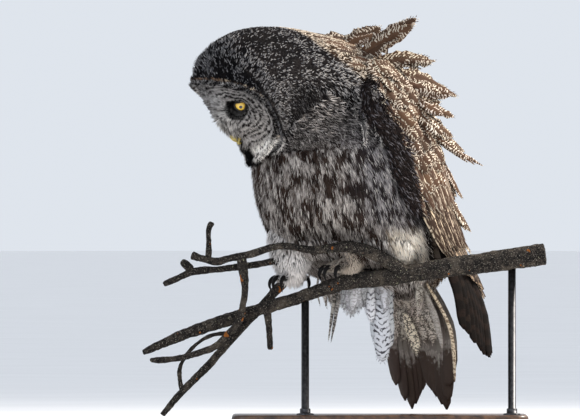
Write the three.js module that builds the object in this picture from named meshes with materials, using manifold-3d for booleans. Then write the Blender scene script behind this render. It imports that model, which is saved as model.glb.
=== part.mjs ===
// A great grey owl, life size and still, bowed forward on a forked branch that a plain stand holds.
// Millimetres, +Z up. The owl faces -Y and its left side is +X. The origin is the middle of the
// stand's underside, on the floor.
import * as THREE from 'three';
import { mergeVertices } from 'three/addons/utils/BufferGeometryUtils.js';
import Module from 'manifold-3d';

const wasm = await Module();
wasm.setup();

const degree = Math.PI / 180;

// Driving dimensions
const gap = 0.3; // between touching pieces
const perchTurn = 45 * degree; // from the owl's left-right axis to the line of the perch
const headTurn = -13 * degree; // the head looks a little to the owl's right
const perchOut = 105; // how far the main branch lies out from the origin
const roundSides = 32; // sides of the trunk and head
const disc = { y: -290, z: 485, x: -32, lean: 137, high: 78, wide: 82 }; // facial disc: middle and half sizes
const eyeApart = 29; // half the distance between the eyes
const eyeUp = 9; // the eyes above the middle of the disc
const eyeRadius = 11.5;
const base = { length: 460, depth: 256, thickness: 16, corner: 22 };
const rodRadius = 6;

// Places on the perch are given along it, out from it toward the owl's front left, and up.
const alongAxis = new THREE.Vector3(Math.cos(perchTurn), Math.sin(perchTurn), 0);
const outAxis = new THREE.Vector3(Math.sin(perchTurn), -Math.cos(perchTurn), 0);
const upAxis = new THREE.Vector3(0, 0, 1);

function perchPlace(along, out, up) {
  return new THREE.Vector3(0, 0, up).addScaledVector(alongAxis, along).addScaledVector(outAxis, out);
}

// Smooth value from a table of [key, value...] rows, by straight steps between the rows.
function lookUp(rows, key, column) {
  if (key <= rows[0][0]) return rows[0][column];
  for (let i = 1; i < rows.length; i += 1) {
    if (key <= rows[i][0]) {
      const share = (key - rows[i - 1][0]) / (rows[i][0] - rows[i - 1][0]);
      return THREE.MathUtils.lerp(rows[i - 1][column], rows[i][column], share);
    }
  }
  return rows[rows.length - 1][column];
}

// Closed geometry from points and triangles, turned so that its faces point out.
function closedGeometry(points, triangles) {
  let volume = 0;
  for (const [a, b, c] of triangles) {
    volume += points[a].dot(new THREE.Vector3().crossVectors(points[b], points[c]));
  }
  const order = volume > 0 ? (t) => t : (t) => [t[0], t[2], t[1]];
  const geometry = new THREE.BufferGeometry();
  geometry.setAttribute('position', new THREE.Float32BufferAttribute(points.flatMap((p) => p.toArray()), 3));
  geometry.setIndex(triangles.flatMap(order));
  return geometry;
}

// Skin over rings of points, closed at each end by a fan from the ring's middle.
function loft(rings) {
  const count = rings[0].length;
  const points = rings.flat();
  const triangles = [];
  for (let i = 0; i + 1 < rings.length; i += 1) {
    for (let k = 0; k < count; k += 1) {
      const a = i * count + k;
      const b = i * count + ((k + 1) % count);
      triangles.push([a, b, b + count], [a, b + count, a + count]);
    }
  }
  for (const [ring, first] of [[rings[0], 0], [rings.at(-1), (rings.length - 1) * count]]) {
    const middle = ring.reduce((sum, p) => sum.add(p), new THREE.Vector3()).divideScalar(count);
    points.push(middle);
    for (let k = 0; k < count; k += 1) {
      const next = first + ((k + 1) % count);
      const hub = points.length - 1;
      triangles.push(first === 0 ? [hub, next, first + k] : [hub, first + k, next]);
    }
  }
  return closedGeometry(points, triangles);
}

// Round or oval ring about a place, in the plane of two unit axes.
function ovalRing(place, axisA, axisB, radiusA, radiusB, sides) {
  const ring = [];
  for (let k = 0; k < sides; k += 1) {
    const turn = (k / sides) * 2 * Math.PI;
    ring.push(place.clone()
      .addScaledVector(axisA, Math.cos(turn) * radiusA)
      .addScaledVector(axisB, Math.sin(turn) * radiusB));
  }
  return ring;
}

// Limb of round section along a smooth line through places, each with its radius.
function limb(places, radii, { sides = 8, steps = places.length - 1, facing = outAxis, grow = 0 } = {}) {
  const line = new THREE.CatmullRomCurve3(places);
  const rings = [];
  for (let i = 0; i <= steps; i += 1) {
    const share = i / steps;
    const tangent = line.getTangent(share);
    const side = new THREE.Vector3().crossVectors(facing, tangent).normalize();
    const front = new THREE.Vector3().crossVectors(tangent, side);
    const place = line.getPoint(share);
    if (i === 0) place.addScaledVector(tangent, -grow);
    if (i === steps) place.addScaledVector(tangent, grow);
    const radius = lookUp(radii.map((r, k) => [k / (radii.length - 1), r]), share, 1) + grow;
    rings.push(ovalRing(place, front, side, radius, radius, sides));
  }
  return loft(rings);
}

// How far along a feather its stations lie, and how wide it is there.
const featherShares = [[0, 0.45], [0.45, 0.95], [0.82, 0.9], [1, 0.28]];
const longShares = [[0, 0.5], [0.35, 0.85], [0.7, 1], [0.91, 0.82], [1, 0.25]];

// Feather vane along a smooth line. One long edge is tilted up, both droop a little, and both
// faces are split into triangles alike.
function vane(places, facing, half, { shares = featherShares, thick = 1.4, tilt = 0 } = {}) {
  const line = new THREE.CatmullRomCurve3(places);
  const points = [];
  for (const [share, width] of shares) {
    const tangent = line.getTangent(share);
    const across = new THREE.Vector3().crossVectors(facing, tangent).normalize();
    const out = new THREE.Vector3().crossVectors(tangent, across);
    const middle = line.getPoint(share);
    const reach = half * width;
    const lift = tilt * Math.min(1, 2 * share);
    const left = middle.clone().addScaledVector(across, -reach).addScaledVector(out, -lift - 0.07 * reach);
    const right = middle.clone().addScaledVector(across, reach).addScaledVector(out, lift - 0.07 * reach);
    const depth = thick * (share === 1 ? 0.5 : 1);
    for (const face of [0.5, -0.5]) {
      points.push(left.clone().addScaledVector(out, face * 0.6));
      points.push(middle.clone().addScaledVector(out, face * depth));
      points.push(right.clone().addScaledVector(out, face * 0.6));
    }
  }
  return closedGeometry(points, vaneTriangles(shares.length));
}

// Triangles of a vane whose stations hold left, middle and right points above, then below.
function vaneTriangles(stations) {
  const triangles = [];
  const quad = (a, b, c, d) => triangles.push([a, b, c], [a, c, d]);
  for (let i = 0; i + 1 < stations; i += 1) {
    const a = 6 * i;
    const b = a + 6;
    for (const k of [0, 1]) {
      quad(a + k, a + k + 1, b + k + 1, b + k);
      triangles.push([a + 3 + k, b + 4 + k, a + 4 + k], [a + 3 + k, b + 3 + k, b + 4 + k]);
    }
    quad(a, b, b + 3, a + 3);
    quad(b + 2, a + 2, a + 5, b + 5);
  }
  const tip = 6 * (stations - 1);
  quad(1, 0, 3, 4);
  quad(2, 1, 4, 5);
  quad(tip, tip + 1, tip + 4, tip + 3);
  quad(tip + 1, tip + 2, tip + 5, tip + 4);
  return triangles;
}

function solidOf(geometry) {
  const bare = geometry.clone();
  bare.deleteAttribute('normal');
  bare.deleteAttribute('uv');
  const merged = mergeVertices(bare, 1e-4);
  const vertProperties = new Float32Array(merged.attributes.position.array);
  const triVerts = new Uint32Array(merged.index.array);
  return new wasm.Manifold(new wasm.Mesh({ numProp: 3, vertProperties, triVerts }));
}

function fuse(geometries) {
  return geometries.map(solidOf).reduce((whole, piece) => whole.add(piece));
}

// The largest closed surface of a solid, as geometry.
function largestOf(solid) {
  const pieces = solid.decompose();
  const largest = pieces.reduce((best, piece) => (piece.volume() > best.volume() ? piece : best));
  const { vertProperties, triVerts } = largest.getMesh();
  const geometry = new THREE.BufferGeometry();
  geometry.setAttribute('position', new THREE.BufferAttribute(new Float32Array(vertProperties), 3));
  geometry.setIndex(new THREE.BufferAttribute(new Uint32Array(triVerts), 1));
  return geometry;
}

// Repeatable draw of numbers from 0 to 1.
function seededDraw(seed) {
  let state = seed;
  return () => {
    state = (state * 16807) % 2147483647;
    return state / 2147483647;
  };
}

const owl = new THREE.Group();

function addNode(name, shape, colour, roughness = 0.8, metalness = 0) {
  const geometry = shape.isBufferGeometry ? shape : largestOf(shape);
  const faceted = geometry.index ? geometry.toNonIndexed() : geometry;
  faceted.computeVertexNormals();
  const material = new THREE.MeshStandardMaterial({ color: colour, roughness, metalness });
  const mesh = new THREE.Mesh(faceted, material);
  mesh.name = name;
  owl.add(mesh);
}

const colours = {
  crown: 0x2c2a2b,
  breast: 0x77716d,
  wing: 0x6e5a4a,
  tail: 0x5a5048,
  bark: 0x3a332d,
  foot: 0x8a7a6b,
  claw: 0x15130f,
  bill: 0xd9b548,
  iris: 0xe8c24a,
  stand: 0x2a2a2c,
};

// The trunk from vent to facial disc: each row gives the middle of a section, how far its plane
// leans forward in degrees, and its half depth and half width.
const trunkRows = [
  // y, z, lean, half depth, half width, x
  [38, 196, -10, 26, 34, -8],
  [20, 208, -8, 62, 66, -9],
  [0, 224, -6, 96, 90, -10],
  [-14, 243, -4, 120, 110, -10],
  [-28, 271, 0, 139, 122, -10],
  [-44, 305, 0, 148, 129, -10],
  [-60, 349, 0, 151, 133, -10],
  [-70, 395, 0, 149, 132, -10],
  [-75, 435, 5, 143, 128, -10],
  [-79, 472, 15, 131, 122, -12],
  [-92, 500, 32, 113, 114, -15],
  [-124, 515, 50, 97, 106, -19],
  [-163, 521, 66, 93, 100, -24],
  [-203, 521, 82, 96, 98, -28],
  [-238, 519, 98, 97, 97, -30],
  [-262, 511, 113, 97, 95, -31],
  [-279, 499, 127, 91, 91, -32],
];
const headRow = 10; // the head's turn is reached over the rows from here on

// How far out the belly may reach at each height, where it is pressed in behind the branches.
const bellyLimits = [[0, 64], [246, 66], [268, 112], [292, 118], [330, 150], [360, 400]];

function sectionFrame(row, index) {
  const [y, z, lean, , , x] = row;
  const turn = headTurn * THREE.MathUtils.clamp((index - headRow + 3) / 4, 0, 1);
  const level = new THREE.Vector3(-Math.sin(turn), Math.cos(turn), 0);
  const back = level.multiplyScalar(Math.cos(lean * degree)).addScaledVector(upAxis, Math.sin(lean * degree));
  const left = new THREE.Vector3(Math.cos(turn), Math.sin(turn), 0);
  const ahead = new THREE.Vector3().crossVectors(left, back);
  return { place: new THREE.Vector3(x, y, z), back, left, ahead };
}

function trunkRing(row, index, grow) {
  const { place, back, left } = sectionFrame(row, index);
  const ring = ovalRing(place, back, left, -(row[3] + grow), row[4] + grow, roundSides);
  for (const point of ring) {
    const excess = point.dot(outAxis) - lookUp(bellyLimits, point.z, 1) - grow;
    if (excess > 0) point.addScaledVector(outAxis, -excess);
  }
  return ring;
}

// Point over the trunk by its place along the rows, the turn from the front round to the left and
// the height above the skin.
function trunkPlace(at, turn, above) {
  const index = Math.min(Math.floor(at), trunkRows.length - 2);
  const next = trunkRows[index + 1];
  const row = trunkRows[index].map((value, k) => THREE.MathUtils.lerp(value, next[k], at - index));
  const { place, back, left } = sectionFrame(row, at);
  return place
    .addScaledVector(back, -Math.cos(turn * degree) * (row[3] + above))
    .addScaledVector(left, Math.sin(turn * degree) * (row[4] + above));
}

// Ruffled feathers of the back, each rooted in the trunk and standing off it toward the tip.
const neckRuffles = [
  // row at the root, turn, row at the tip, stand-off, half width
  [11.3, 166, 10.9, 46, 12],
  [10.95, 147, 10.8, 94, 13],
  [10.6, 143, 9.9, 62, 12],
  [10.1, 147, 9.0, 62, 15],
  [11.1, 198, 10.0, 30, 14],
  [10.7, 216, 9.6, 44, 16],
  [10.2, 204, 8.8, 30, 17],
  [10.4, 176, 9.0, 22, 17],
  [11.9, 180, 10.9, 12, 14],
];
const backRuffles = [
  [9.1, 168, 7.6, 20, 16],
  [8.9, 187, 7.4, 17, 16],
  [8.0, 177, 6.4, 15, 18],
  [7.0, 173, 5.4, 14, 12],
  [6.8, 184, 5.2, 13, 14],
  [5.7, 175, 4.2, 12, 15],
];

function ruffle([from, turn, to, off, half]) {
  const middle = (from + to) / 2;
  const rises = [[from, -12], [middle, off * 0.42], [to, off]];
  const places = rises.map(([at, above]) => trunkPlace(at, turn, above));
  const facing = trunkPlace(middle, turn, 10).sub(trunkPlace(middle, turn, 0)).normalize();
  return vane(places, facing, half);
}

// Loose feathers that hang from the lower belly, with a seeded draw for their lengths.
const hangingCount = 13;

function hangingFeathers() {
  const draw = seededDraw(7);
  const feathers = [];
  for (let k = 0; k < hangingCount; k += 1) {
    const turn = 14 + (k / hangingCount) * 360;
    const length = 46 + 30 * draw();
    const root = trunkPlace(2.1 + 0.5 * draw(), turn, -9);
    const facing = trunkPlace(2, turn, 10).sub(trunkPlace(2, turn, 0)).setZ(0).normalize();
    const middle = root.clone().addScaledVector(facing, 1).add(new THREE.Vector3(0, 0, -0.5 * length));
    const tip = root.clone().addScaledVector(facing, -3).add(new THREE.Vector3(4 * draw(), 2, -length));
    feathers.push(vane([root, middle, tip], facing, 10 + 4 * draw()));
  }
  return feathers;
}

// How far the line from brow to chin stands ahead of the disc's plane, by height up the disc.
const frontLine = [[-78, 33], [-50, 30], [-36, 25], [-18, 30], [0, 28], [40, 20], [78, 8]];

// Relief of the facial disc: its halves sweep back from that line, with a dish round each eye.
function faceRelief(side, up) {
  const reach = Math.abs(side) / disc.wide;
  const wedge = lookUp(frontLine, up, 1) * (1 - reach) ** 1.3 - 20 * reach ** 2;
  const fromRim = (Math.hypot(reach, up / disc.high) - 0.93) / 0.05;
  const rim = 5 * Math.exp(-(fromRim ** 2));
  const dish = 14 * Math.exp(-((Math.abs(side) - eyeApart - 4) ** 2 + (up - eyeUp) ** 2) / 18 ** 2);
  return wedge - dish + rim;
}

const discFrame = sectionFrame([disc.y, disc.z, disc.lean, 0, 0, disc.x], trunkRows.length);

// Point of the face by its distance to the owl's left and up the disc.
function facePlace(side, up, ahead = 0) {
  return discFrame.place.clone()
    .addScaledVector(discFrame.left, side)
    .addScaledVector(discFrame.back, up)
    .addScaledVector(discFrame.ahead, faceRelief(side, up) + ahead);
}

function faceRing(share) {
  const ring = [];
  for (let k = 0; k < roundSides; k += 1) {
    const turn = (k / roundSides) * 2 * Math.PI;
    ring.push(facePlace(Math.sin(turn) * disc.wide * share, -Math.cos(turn) * disc.high * share));
  }
  return ring;
}

function trunkGeometry(grow = 0) {
  const rings = trunkRows.map((row, index) => trunkRing(row, index, grow));
  return loft([...rings, ...[1, 0.93, 0.86, 0.68, 0.48, 0.28].map(faceRing)]);
}

// Eyes, their lids and the bill
function eyeAxis(side) {
  return discFrame.ahead.clone().addScaledVector(discFrame.left, side * 0.5).normalize();
}

function eyeGeometry(side, grow = 0) {
  const ball = new THREE.SphereGeometry(eyeRadius + grow, 12, 8);
  const place = facePlace(side * eyeApart, eyeUp).addScaledVector(eyeAxis(side), 3.5 - eyeRadius);
  return ball.translate(place.x, place.y, place.z);
}

function lidGeometry(side) {
  const lid = new THREE.TorusGeometry(8.9, 2, 5, 14);
  lid.applyQuaternion(new THREE.Quaternion().setFromUnitVectors(upAxis, eyeAxis(side)));
  const place = facePlace(side * eyeApart, eyeUp).addScaledVector(eyeAxis(side), 0.6);
  return lid.translate(place.x, place.y, place.z);
}

function billGeometry(lower, grow = 0) {
  const up = lower ? -36 : -22;
  const length = lower ? 9 : 18;
  const line = [[up, -14], [up - length * 0.4, -1], [up - length, lower ? 0 : 4]];
  const places = line.map(([height, ahead]) => facePlace(0, height, ahead));
  const radii = lower ? [3.6, 3, 1.2] : [6.2, 5, 0.9];
  return limb(places, radii, { sides: 10, steps: 5, facing: discFrame.left, grow });
}

function addTrunk() {
  let trunk = solidOf(trunkGeometry());
  for (const side of [-1, 1]) {
    trunk = trunk.add(solidOf(lidGeometry(side))).subtract(solidOf(eyeGeometry(side, gap)));
  }
  trunk = trunk.subtract(solidOf(billGeometry(false, gap))).subtract(solidOf(billGeometry(true, gap)));
  const cuts = [9.5, 12.4].map((at) => {
    const index = Math.floor(at);
    const next = trunkRows[index + 1];
    const row = trunkRows[index].map((value, k) => THREE.MathUtils.lerp(value, next[k], at - index));
    const { place, ahead } = sectionFrame(row, at);
    return { normal: ahead, offset: ahead.dot(place) };
  });
  const [low, high] = cuts;
  const above = (solid, cut) => solid.trimByPlane(cut.normal.toArray(), cut.offset + gap / 2);
  const below = (solid, cut) =>
    solid.trimByPlane(cut.normal.clone().negate().toArray(), gap / 2 - cut.offset);
  const torso = below(trunk, low).add(fuse([...backRuffles.map(ruffle), ...hangingFeathers()]));
  addNode('torso', torso, colours.breast);
  addNode('neck', below(above(trunk, low), high).add(fuse(neckRuffles.map(ruffle))), colours.crown);
  addNode('head', above(above(trunk, low), high), colours.crown);
  for (const [name, side] of [['left', 1], ['right', -1]]) {
    addNode(`eye_${name}`, eyeGeometry(side), colours.iris, 0.1);
  }
  const lowerRoom = solidOf(billGeometry(true, gap));
  addNode('bill_upper', solidOf(billGeometry(false)).subtract(lowerRoom), colours.bill, 0.4);
  addNode('bill_lower', billGeometry(true), colours.bill, 0.4);
}

// The flanks: sections of the body that the folded wings lie on, carried on below the vent.
const flankRows = [
  // z, y, half depth, half width
  [90, 34, 144, 144],
  [150, 24, 150, 147],
  [210, 4, 152, 146],
  [271, -24, 150, 136],
  [305, -42, 150, 132],
  [349, -60, 152, 134],
  [395, -70, 150, 133],
  [435, -76, 143, 129],
  [472, -82, 132, 122],
  [510, -88, 114, 110],
  [555, -98, 80, 88],
];
const flankMiddle = -10;

// Point over a flank: turn from the breast round to the back, height and lift off the body.
function onFlank(side, turn, up, lift) {
  const across = Math.sin(turn * degree);
  const behind = -Math.cos(turn * degree);
  const deep = lookUp(flankRows, up, 2);
  const wide = lookUp(flankRows, up, 3);
  const y = lookUp(flankRows, up, 1);
  const normal = new THREE.Vector3(across / wide, behind / deep, 0).normalize();
  const point = new THREE.Vector3(across * wide, y + behind * deep, up).addScaledVector(normal, lift);
  point.x = side * point.x + flankMiddle;
  return point;
}

// Each folded wing's outline as turns at heights from its tip to the shoulder, and its thickness.
const wingRows = [
  // z, front edge, back edge, lift
  [104, 101, 136, 14],
  [135, 99, 144, 15],
  [185, 100, 152, 11],
  [240, 102, 160, 8],
  [300, 102, 164, 10],
  [350, 98, 164, 12],
  [403, 90, 162, 12],
  [450, 81, 160, 12],
  [490, 71, 156, 13],
  [522, 74, 146, 15],
  [540, 88, 132, 12],
];
const shellFoot = 3; // the shell starts at this row, and only flight feathers reach below it
const rightTuck = [[112, 16], [240, 8], [350, 0]]; // the right wing's tip is held further back
const wingSteps = 7;

// Point on a folded wing by its share from the front edge to the back one, its height and how far
// it lies above the shell.
function onWing(side, share, up, above) {
  const tuck = side < 0 ? lookUp(rightTuck, up, 1) : 0;
  const turn = THREE.MathUtils.lerp(lookUp(wingRows, up, 1), lookUp(wingRows, up, 2), share) + tuck;
  const inside = THREE.MathUtils.clamp(share, 0, 1);
  const swell = Math.sin(Math.PI * THREE.MathUtils.lerp(0.1, 0.9, inside));
  return onFlank(side, turn, up, 2 + lookUp(wingRows, up, 3) * swell + above);
}

// Closed shell between an outer and an inner grid of points.
function shell(outer, inner) {
  const rows = outer.length;
  const columns = outer[0].length;
  const points = [...outer.flat(), ...inner.flat()];
  const under = rows * columns;
  const triangles = [];
  const quad = (a, b, c, d) => triangles.push([a, b, c], [a, c, d]);
  for (let i = 0; i + 1 < rows; i += 1) {
    for (let k = 0; k + 1 < columns; k += 1) {
      const a = i * columns + k;
      quad(a, a + 1, a + columns + 1, a + columns);
      quad(under + a, under + a + columns, under + a + columns + 1, under + a + 1);
    }
  }
  for (let i = 0; i + 1 < rows; i += 1) {
    const first = i * columns;
    const last = first + columns - 1;
    quad(first, first + columns, under + first + columns, under + first);
    quad(last, under + last, under + last + columns, last + columns);
  }
  for (let k = 0; k + 1 < columns; k += 1) {
    const top = (rows - 1) * columns + k;
    quad(k, under + k, under + k + 1, k + 1);
    quad(top, top + 1, under + top + 1, under + top);
  }
  return closedGeometry(points, triangles);
}

function wingGeometry(side) {
  const outer = [];
  const inner = [];
  for (const [up, , , lift] of wingRows.slice(shellFoot)) {
    const outerRow = [];
    const innerRow = [];
    for (let k = 0; k <= wingSteps; k += 1) {
      const share = k / wingSteps;
      outerRow.push(onWing(side, share, up, up < 250 ? -4 : 0));
      innerRow.push(onWing(side, share, up, up < 250 ? -9 : -12 - lift));
    }
    outer.push(outerRow);
    inner.push(innerRow);
  }
  return shell(outer, inner);
}

// Tiers of wing feathers, from the front edge to the back one: shares and heights of the first and
// the last root and tip, and how far root, middle and tip lie above the shell. The right wing's
// longest feathers lie further back, tucked behind the tail's root.
const wingTiers = [
  { count: 6, roots: [[0.2, 335], [0.6, 335]], tips: [[-0.06, 146], [0.9, 106]], half: 14, above: [-7, -2, 0],
    shares: longShares, right: { count: 5, tips: [[0.34, 146], [0.9, 106]] } },
  { count: 7, roots: [[0.2, 405], [0.9, 390]], tips: [[0.25, 190], [1, 236]], half: 16, above: [-5, 2, 8],
    shares: longShares },
  { count: 6, roots: [[0.1, 440], [0.9, 440]], tips: [[0.1, 325], [0.95, 345]], half: 18,
    above: [-5, 3, 10] },
  { count: 5, roots: [[0.14, 487], [0.86, 487]], tips: [[0.1, 400], [0.95, 415]], half: 20,
    above: [-5, 3, 12] },
];
// Ruffled scapulars: share, height at the root and at the tip, stand-off and half width.
const scapulars = [
  [0.72, 528, 512, 58, 15],
  [0.86, 516, 500, 40, 14],
  [0.62, 508, 478, 46, 16],
  [0.52, 486, 446, 34, 16],
  [0.76, 480, 424, 46, 15],
  [0.66, 452, 402, 66, 6],
  [0.7, 424, 352, 27, 15],
  [0.62, 372, 300, 26, 15],
  [0.78, 340, 266, 18, 15],
];

function wingFeathers(side) {
  const feathers = [];
  const place = (from, to, share, above) => onWing(side, THREE.MathUtils.lerp(from[0], to[0], share),
    THREE.MathUtils.lerp(from[1], to[1], share), above);
  const add = (root, tip, above, half, options) => {
    const places = [0, 0.5, 1].map((share, k) => place(root, tip, share, above[k]));
    const facing = place(root, tip, 0.6, 10).sub(place(root, tip, 0.6, 0)).normalize();
    feathers.push(vane(places, facing, half, { tilt: -2.2 * side, ...options }));
  };
  for (const wingTier of wingTiers) {
    const chosen = side < 0 ? { ...wingTier, ...wingTier.right } : wingTier;
    const { count, roots, tips, half, above, shares } = chosen;
    for (let k = 0; k < count; k += 1) {
      const mix = (pair) => [0, 1].map((i) => THREE.MathUtils.lerp(pair[0][i], pair[1][i], k / (count - 1)));
      add(mix(roots), mix(tips), above, half, shares ? { shares } : {});
    }
  }
  for (const [share, from, to, off, half] of scapulars) {
    add([share, from], [share + 0.03, to], [-6, off * 0.45, off], half);
  }
  return feathers;
}

// Tail: a frame at its root, running down to the tip, with the underside facing forward.
const tailRoot = new THREE.Vector3(-6, 44, 262);
const tailAxis = new THREE.Vector3(9, 76, -235).normalize();
const tailFace = new THREE.Vector3(0, tailAxis.z, -tailAxis.y);
const tailLength = 250;

function tailPlace(side, down, face) {
  return tailRoot.clone()
    .addScaledVector(tailAxis, down)
    .addScaledVector(tailFace, face)
    .add(new THREE.Vector3(side, 0, 0));
}

// Tail feathers: each side fans out from the middle pair to a lobe, the outer ones lying lower.
const tailShortfalls = [30, 20, 8, 0, 14, 40]; // how far each feather ends above the lobe's tip

function tailFeathers() {
  const feathers = [];
  for (const side of [-1, 1]) {
    for (const [k, shortfall] of tailShortfalls.entries()) {
      const face = 1.9 * (side > 0 ? k : k - 1);
      const root = tailPlace(side * (3 + 2.4 * k), 8, face);
      const middle = tailPlace(side * (7 + 8.4 * k), 0.5 * tailLength, face);
      const tip = tailPlace(side * (11 + 9.2 * k), tailLength - shortfall, face);
      feathers.push(vane([root, middle, tip], tailFace, 14.5, { shares: longShares, tilt: 0.6 * side }));
    }
  }
  return feathers;
}

// Undertail coverts: soft feathers over the tail's root, in two overlapping tiers.
const covertTiers = [
  { count: 5, spread: 13, length: 118, face: 19, half: 15 },
  { count: 4, spread: 12, length: 88, face: 25, half: 14 },
];

function undertailCoverts() {
  const feathers = [];
  for (const { count, spread, length, face, half } of covertTiers) {
    for (let k = 0; k < count; k += 1) {
      const step = k - (count - 1) / 2;
      const stack = face + 1.8 * (k % 2);
      const root = tailPlace(step * spread * 0.4, 22, face * 0.4);
      const middle = tailPlace(step * spread * 0.8, 20 + 0.5 * length, stack);
      const tip = tailPlace(step * spread * 1.25, 20 + length - 3 * step ** 2, stack);
      feathers.push(vane([root, middle, tip], tailFace, half, { tilt: 0.5 }));
    }
  }
  return feathers;
}

function tailSolid() {
  const root = [tailPlace(0, -4, 6), tailPlace(0, 26, 6), tailPlace(0, 60, 4)];
  return fuse([limb(root, [24, 22, 11], { sides: 12, steps: 4 }), ...tailFeathers(), ...undertailCoverts()]);
}

// Legs, feet and claws. Each foot stands on its branch with the toes forward.
const legs = {
  left: { hip: perchPlace(-45, 62, 300), knee: perchPlace(-48, 84, 268), ankle: perchPlace(-46, 97, 248) },
  right: { hip: perchPlace(-136, 62, 300), knee: perchPlace(-137, 84, 266),
    ankle: perchPlace(-136, 97, 242) },
};

function legGeometry(side, grow = 0) {
  const { hip, knee, ankle } = legs[side];
  const radii = side === 'left' ? [34, 26, 15] : [38, 30, 15];
  return limb([hip, knee, ankle], radii, { sides: 12, steps: 3, grow });
}

const toeSpreads = [-28, 0, 28, 180];
// How far the toes reach and how far they drop: the right foot holds its branch more tightly.
const toeReaches = { left: [36, 5], right: [23, 15], back: [19, 14] };

function toePlaces(side, spread) {
  const { ankle } = legs[side];
  const turn = (spread + 12) * degree;
  const ahead = new THREE.Vector3(-Math.sin(turn), -Math.cos(turn), 0);
  const [reach, drop] = toeReaches[spread === 180 ? 'back' : side];
  return [
    ankle.clone().add(new THREE.Vector3(0, 0, -2)),
    ankle.clone().addScaledVector(ahead, reach * 0.55).add(new THREE.Vector3(0, 0, 7 - drop)),
    ankle.clone().addScaledVector(ahead, reach).add(new THREE.Vector3(0, 0, -drop)),
  ];
}

function clawGeometry(side, spread, grow = 0) {
  const [, middle, end] = toePlaces(side, spread);
  const ahead = end.clone().sub(middle).setZ(0).normalize();
  const places = [
    end.clone().addScaledVector(ahead, -3).add(new THREE.Vector3(0, 0, 2)),
    end.clone().addScaledVector(ahead, 9).add(new THREE.Vector3(0, 0, -1)),
    end.clone().addScaledVector(ahead, 13).add(new THREE.Vector3(0, 0, -12)),
    end.clone().addScaledVector(ahead, 8).add(new THREE.Vector3(0, 0, -22)),
  ];
  const facing = new THREE.Vector3().crossVectors(ahead, upAxis);
  return limb(places, [3.4, 2.9, 1.9, 0.5], { sides: 6, steps: 4, facing, grow });
}

function footSolid(side) {
  const pad = new THREE.SphereGeometry(15, 8, 5);
  const { ankle } = legs[side];
  pad.scale(1, 1, 0.8).translate(ankle.x, ankle.y, ankle.z - 4);
  const toes = toeSpreads.map((spread) => limb(toePlaces(side, spread), [9, 8, 5.5], { sides: 6, steps: 3 }));
  return fuse([pad, ...toes]);
}

// Perch: limbs of the forked branch, each along a line of places with a radius at its ends.
const branches = {
  main: {
    places: [[256, 105, 265], [200, 105, 257], [62, 105, 238], [20, 105, 230], [-54, 105, 221],
      [-125, 104, 198],
      [-216, 103, 170], [-265, 103, 154], [-315, 104, 136], [-368, 106, 112]],
    radii: [16.5, 16.5, 14, 13.5, 12, 9.5, 9.8, 9.5, 8, 4.5],
  },
  upper: {
    places: [[44, 106, 234], [0, 121, 260], [-23, 129, 271], [-50, 133, 276.5], [-79, 133, 274],
      [-104, 133, 271],
      [-143, 131, 277], [-168, 130, 275], [-200, 128, 265], [-233, 126, 258.5], [-253, 125, 253.5],
      [-274, 124, 257.5], [-292, 123, 263]],
    radii: [11, 10, 10, 9, 7, 6, 5.6, 5.4, 6.2, 5.2, 6, 4.8, 6.6],
  },
  second: {
    places: [[-143, 98, 236], [-160, 100, 253], [-184, 104, 250], [-217, 106, 245.5], [-250, 108, 241.5],
      [-288, 109, 238], [-308, 109, 230], [-335, 108, 218]],
    radii: [6, 5.6, 5, 5, 5, 6, 5, 4],
  },
  diagonal: {
    places: [[-138, 98, 232], [-156, 97, 214], [-178, 92, 190], [-217, 90, 148], [-249, 91, 112],
      [-266, 92, 92],
      [-298, 93, 61], [-326, 94, 30], [-337, 94, 15]],
    radii: [6.5, 7.5, 7, 6.5, 6.3, 6, 5.6, 4.8, 4.5],
  },
  hanging: {
    places: [[-215, 127, 262], [-212, 128, 240], [-209, 128, 212], [-212, 127, 187], [-217, 126, 165],
      [-229, 125, 149], [-252, 124, 124], [-275, 123, 114], [-308, 123, 105], [-339, 123, 101],
      [-356, 123, 101]],
    radii: [7.5, 7.5, 5.2, 5, 5, 5, 5.4, 5, 4.6, 5, 3],
  },
  looped: {
    places: [[-226, 92, 137], [-240, 100, 142], [-264, 103, 138], [-285, 103, 125], [-301, 101, 107],
      [-310, 98, 88],
      [-310, 95, 70], [-306, 93, 53]],
    radii: [3.2, 2.9, 2.9, 2.9, 3.1, 3.4, 3.8, 4.6],
  },
  upright: { places: [[-266, 124, 257], [-265, 124, 278], [-265, 124, 303], [-260, 124, 314]],
    radii: [5, 4.2, 4, 4.6] },
  stub: { places: [[-291, 109, 240], [-300, 109, 248], [-307, 109, 255]], radii: [6.5, 6.6, 5] },
  downward: { places: [[-175, 104, 180], [-172, 104, 148], [-170, 104, 117]], radii: [6.2, 5, 4] },
};
const branchSteps = { main: 12, upper: 15, second: 8, diagonal: 8, hanging: 10, looped: 8 };

function branchGeometry(name, grow = 0) {
  const { places, radii } = branches[name];
  const line = places.map((place) => perchPlace(...place));
  return limb(line, radii, { steps: branchSteps[name] ?? 4, sides: name === 'main' ? 12 : 8, grow });
}

const branchParents = {
  main: [],
  upper: ['main'],
  diagonal: ['main'],
  second: ['diagonal', 'upper'],
  hanging: ['upper', 'main', 'diagonal'],
  looped: ['diagonal', 'hanging'],
  upright: ['upper'],
  stub: ['second'],
  downward: ['main', 'diagonal'],
};

function clearOf(solid, names) {
  return names.reduce((rest, name) => rest.subtract(solidOf(branchGeometry(name, gap))), solid);
}

function addPerch() {
  for (const [name, parents] of Object.entries(branchParents)) {
    addNode(`perch_${name}`, clearOf(solidOf(branchGeometry(name)), parents), colours.bark, 0.95);
  }
}

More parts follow.
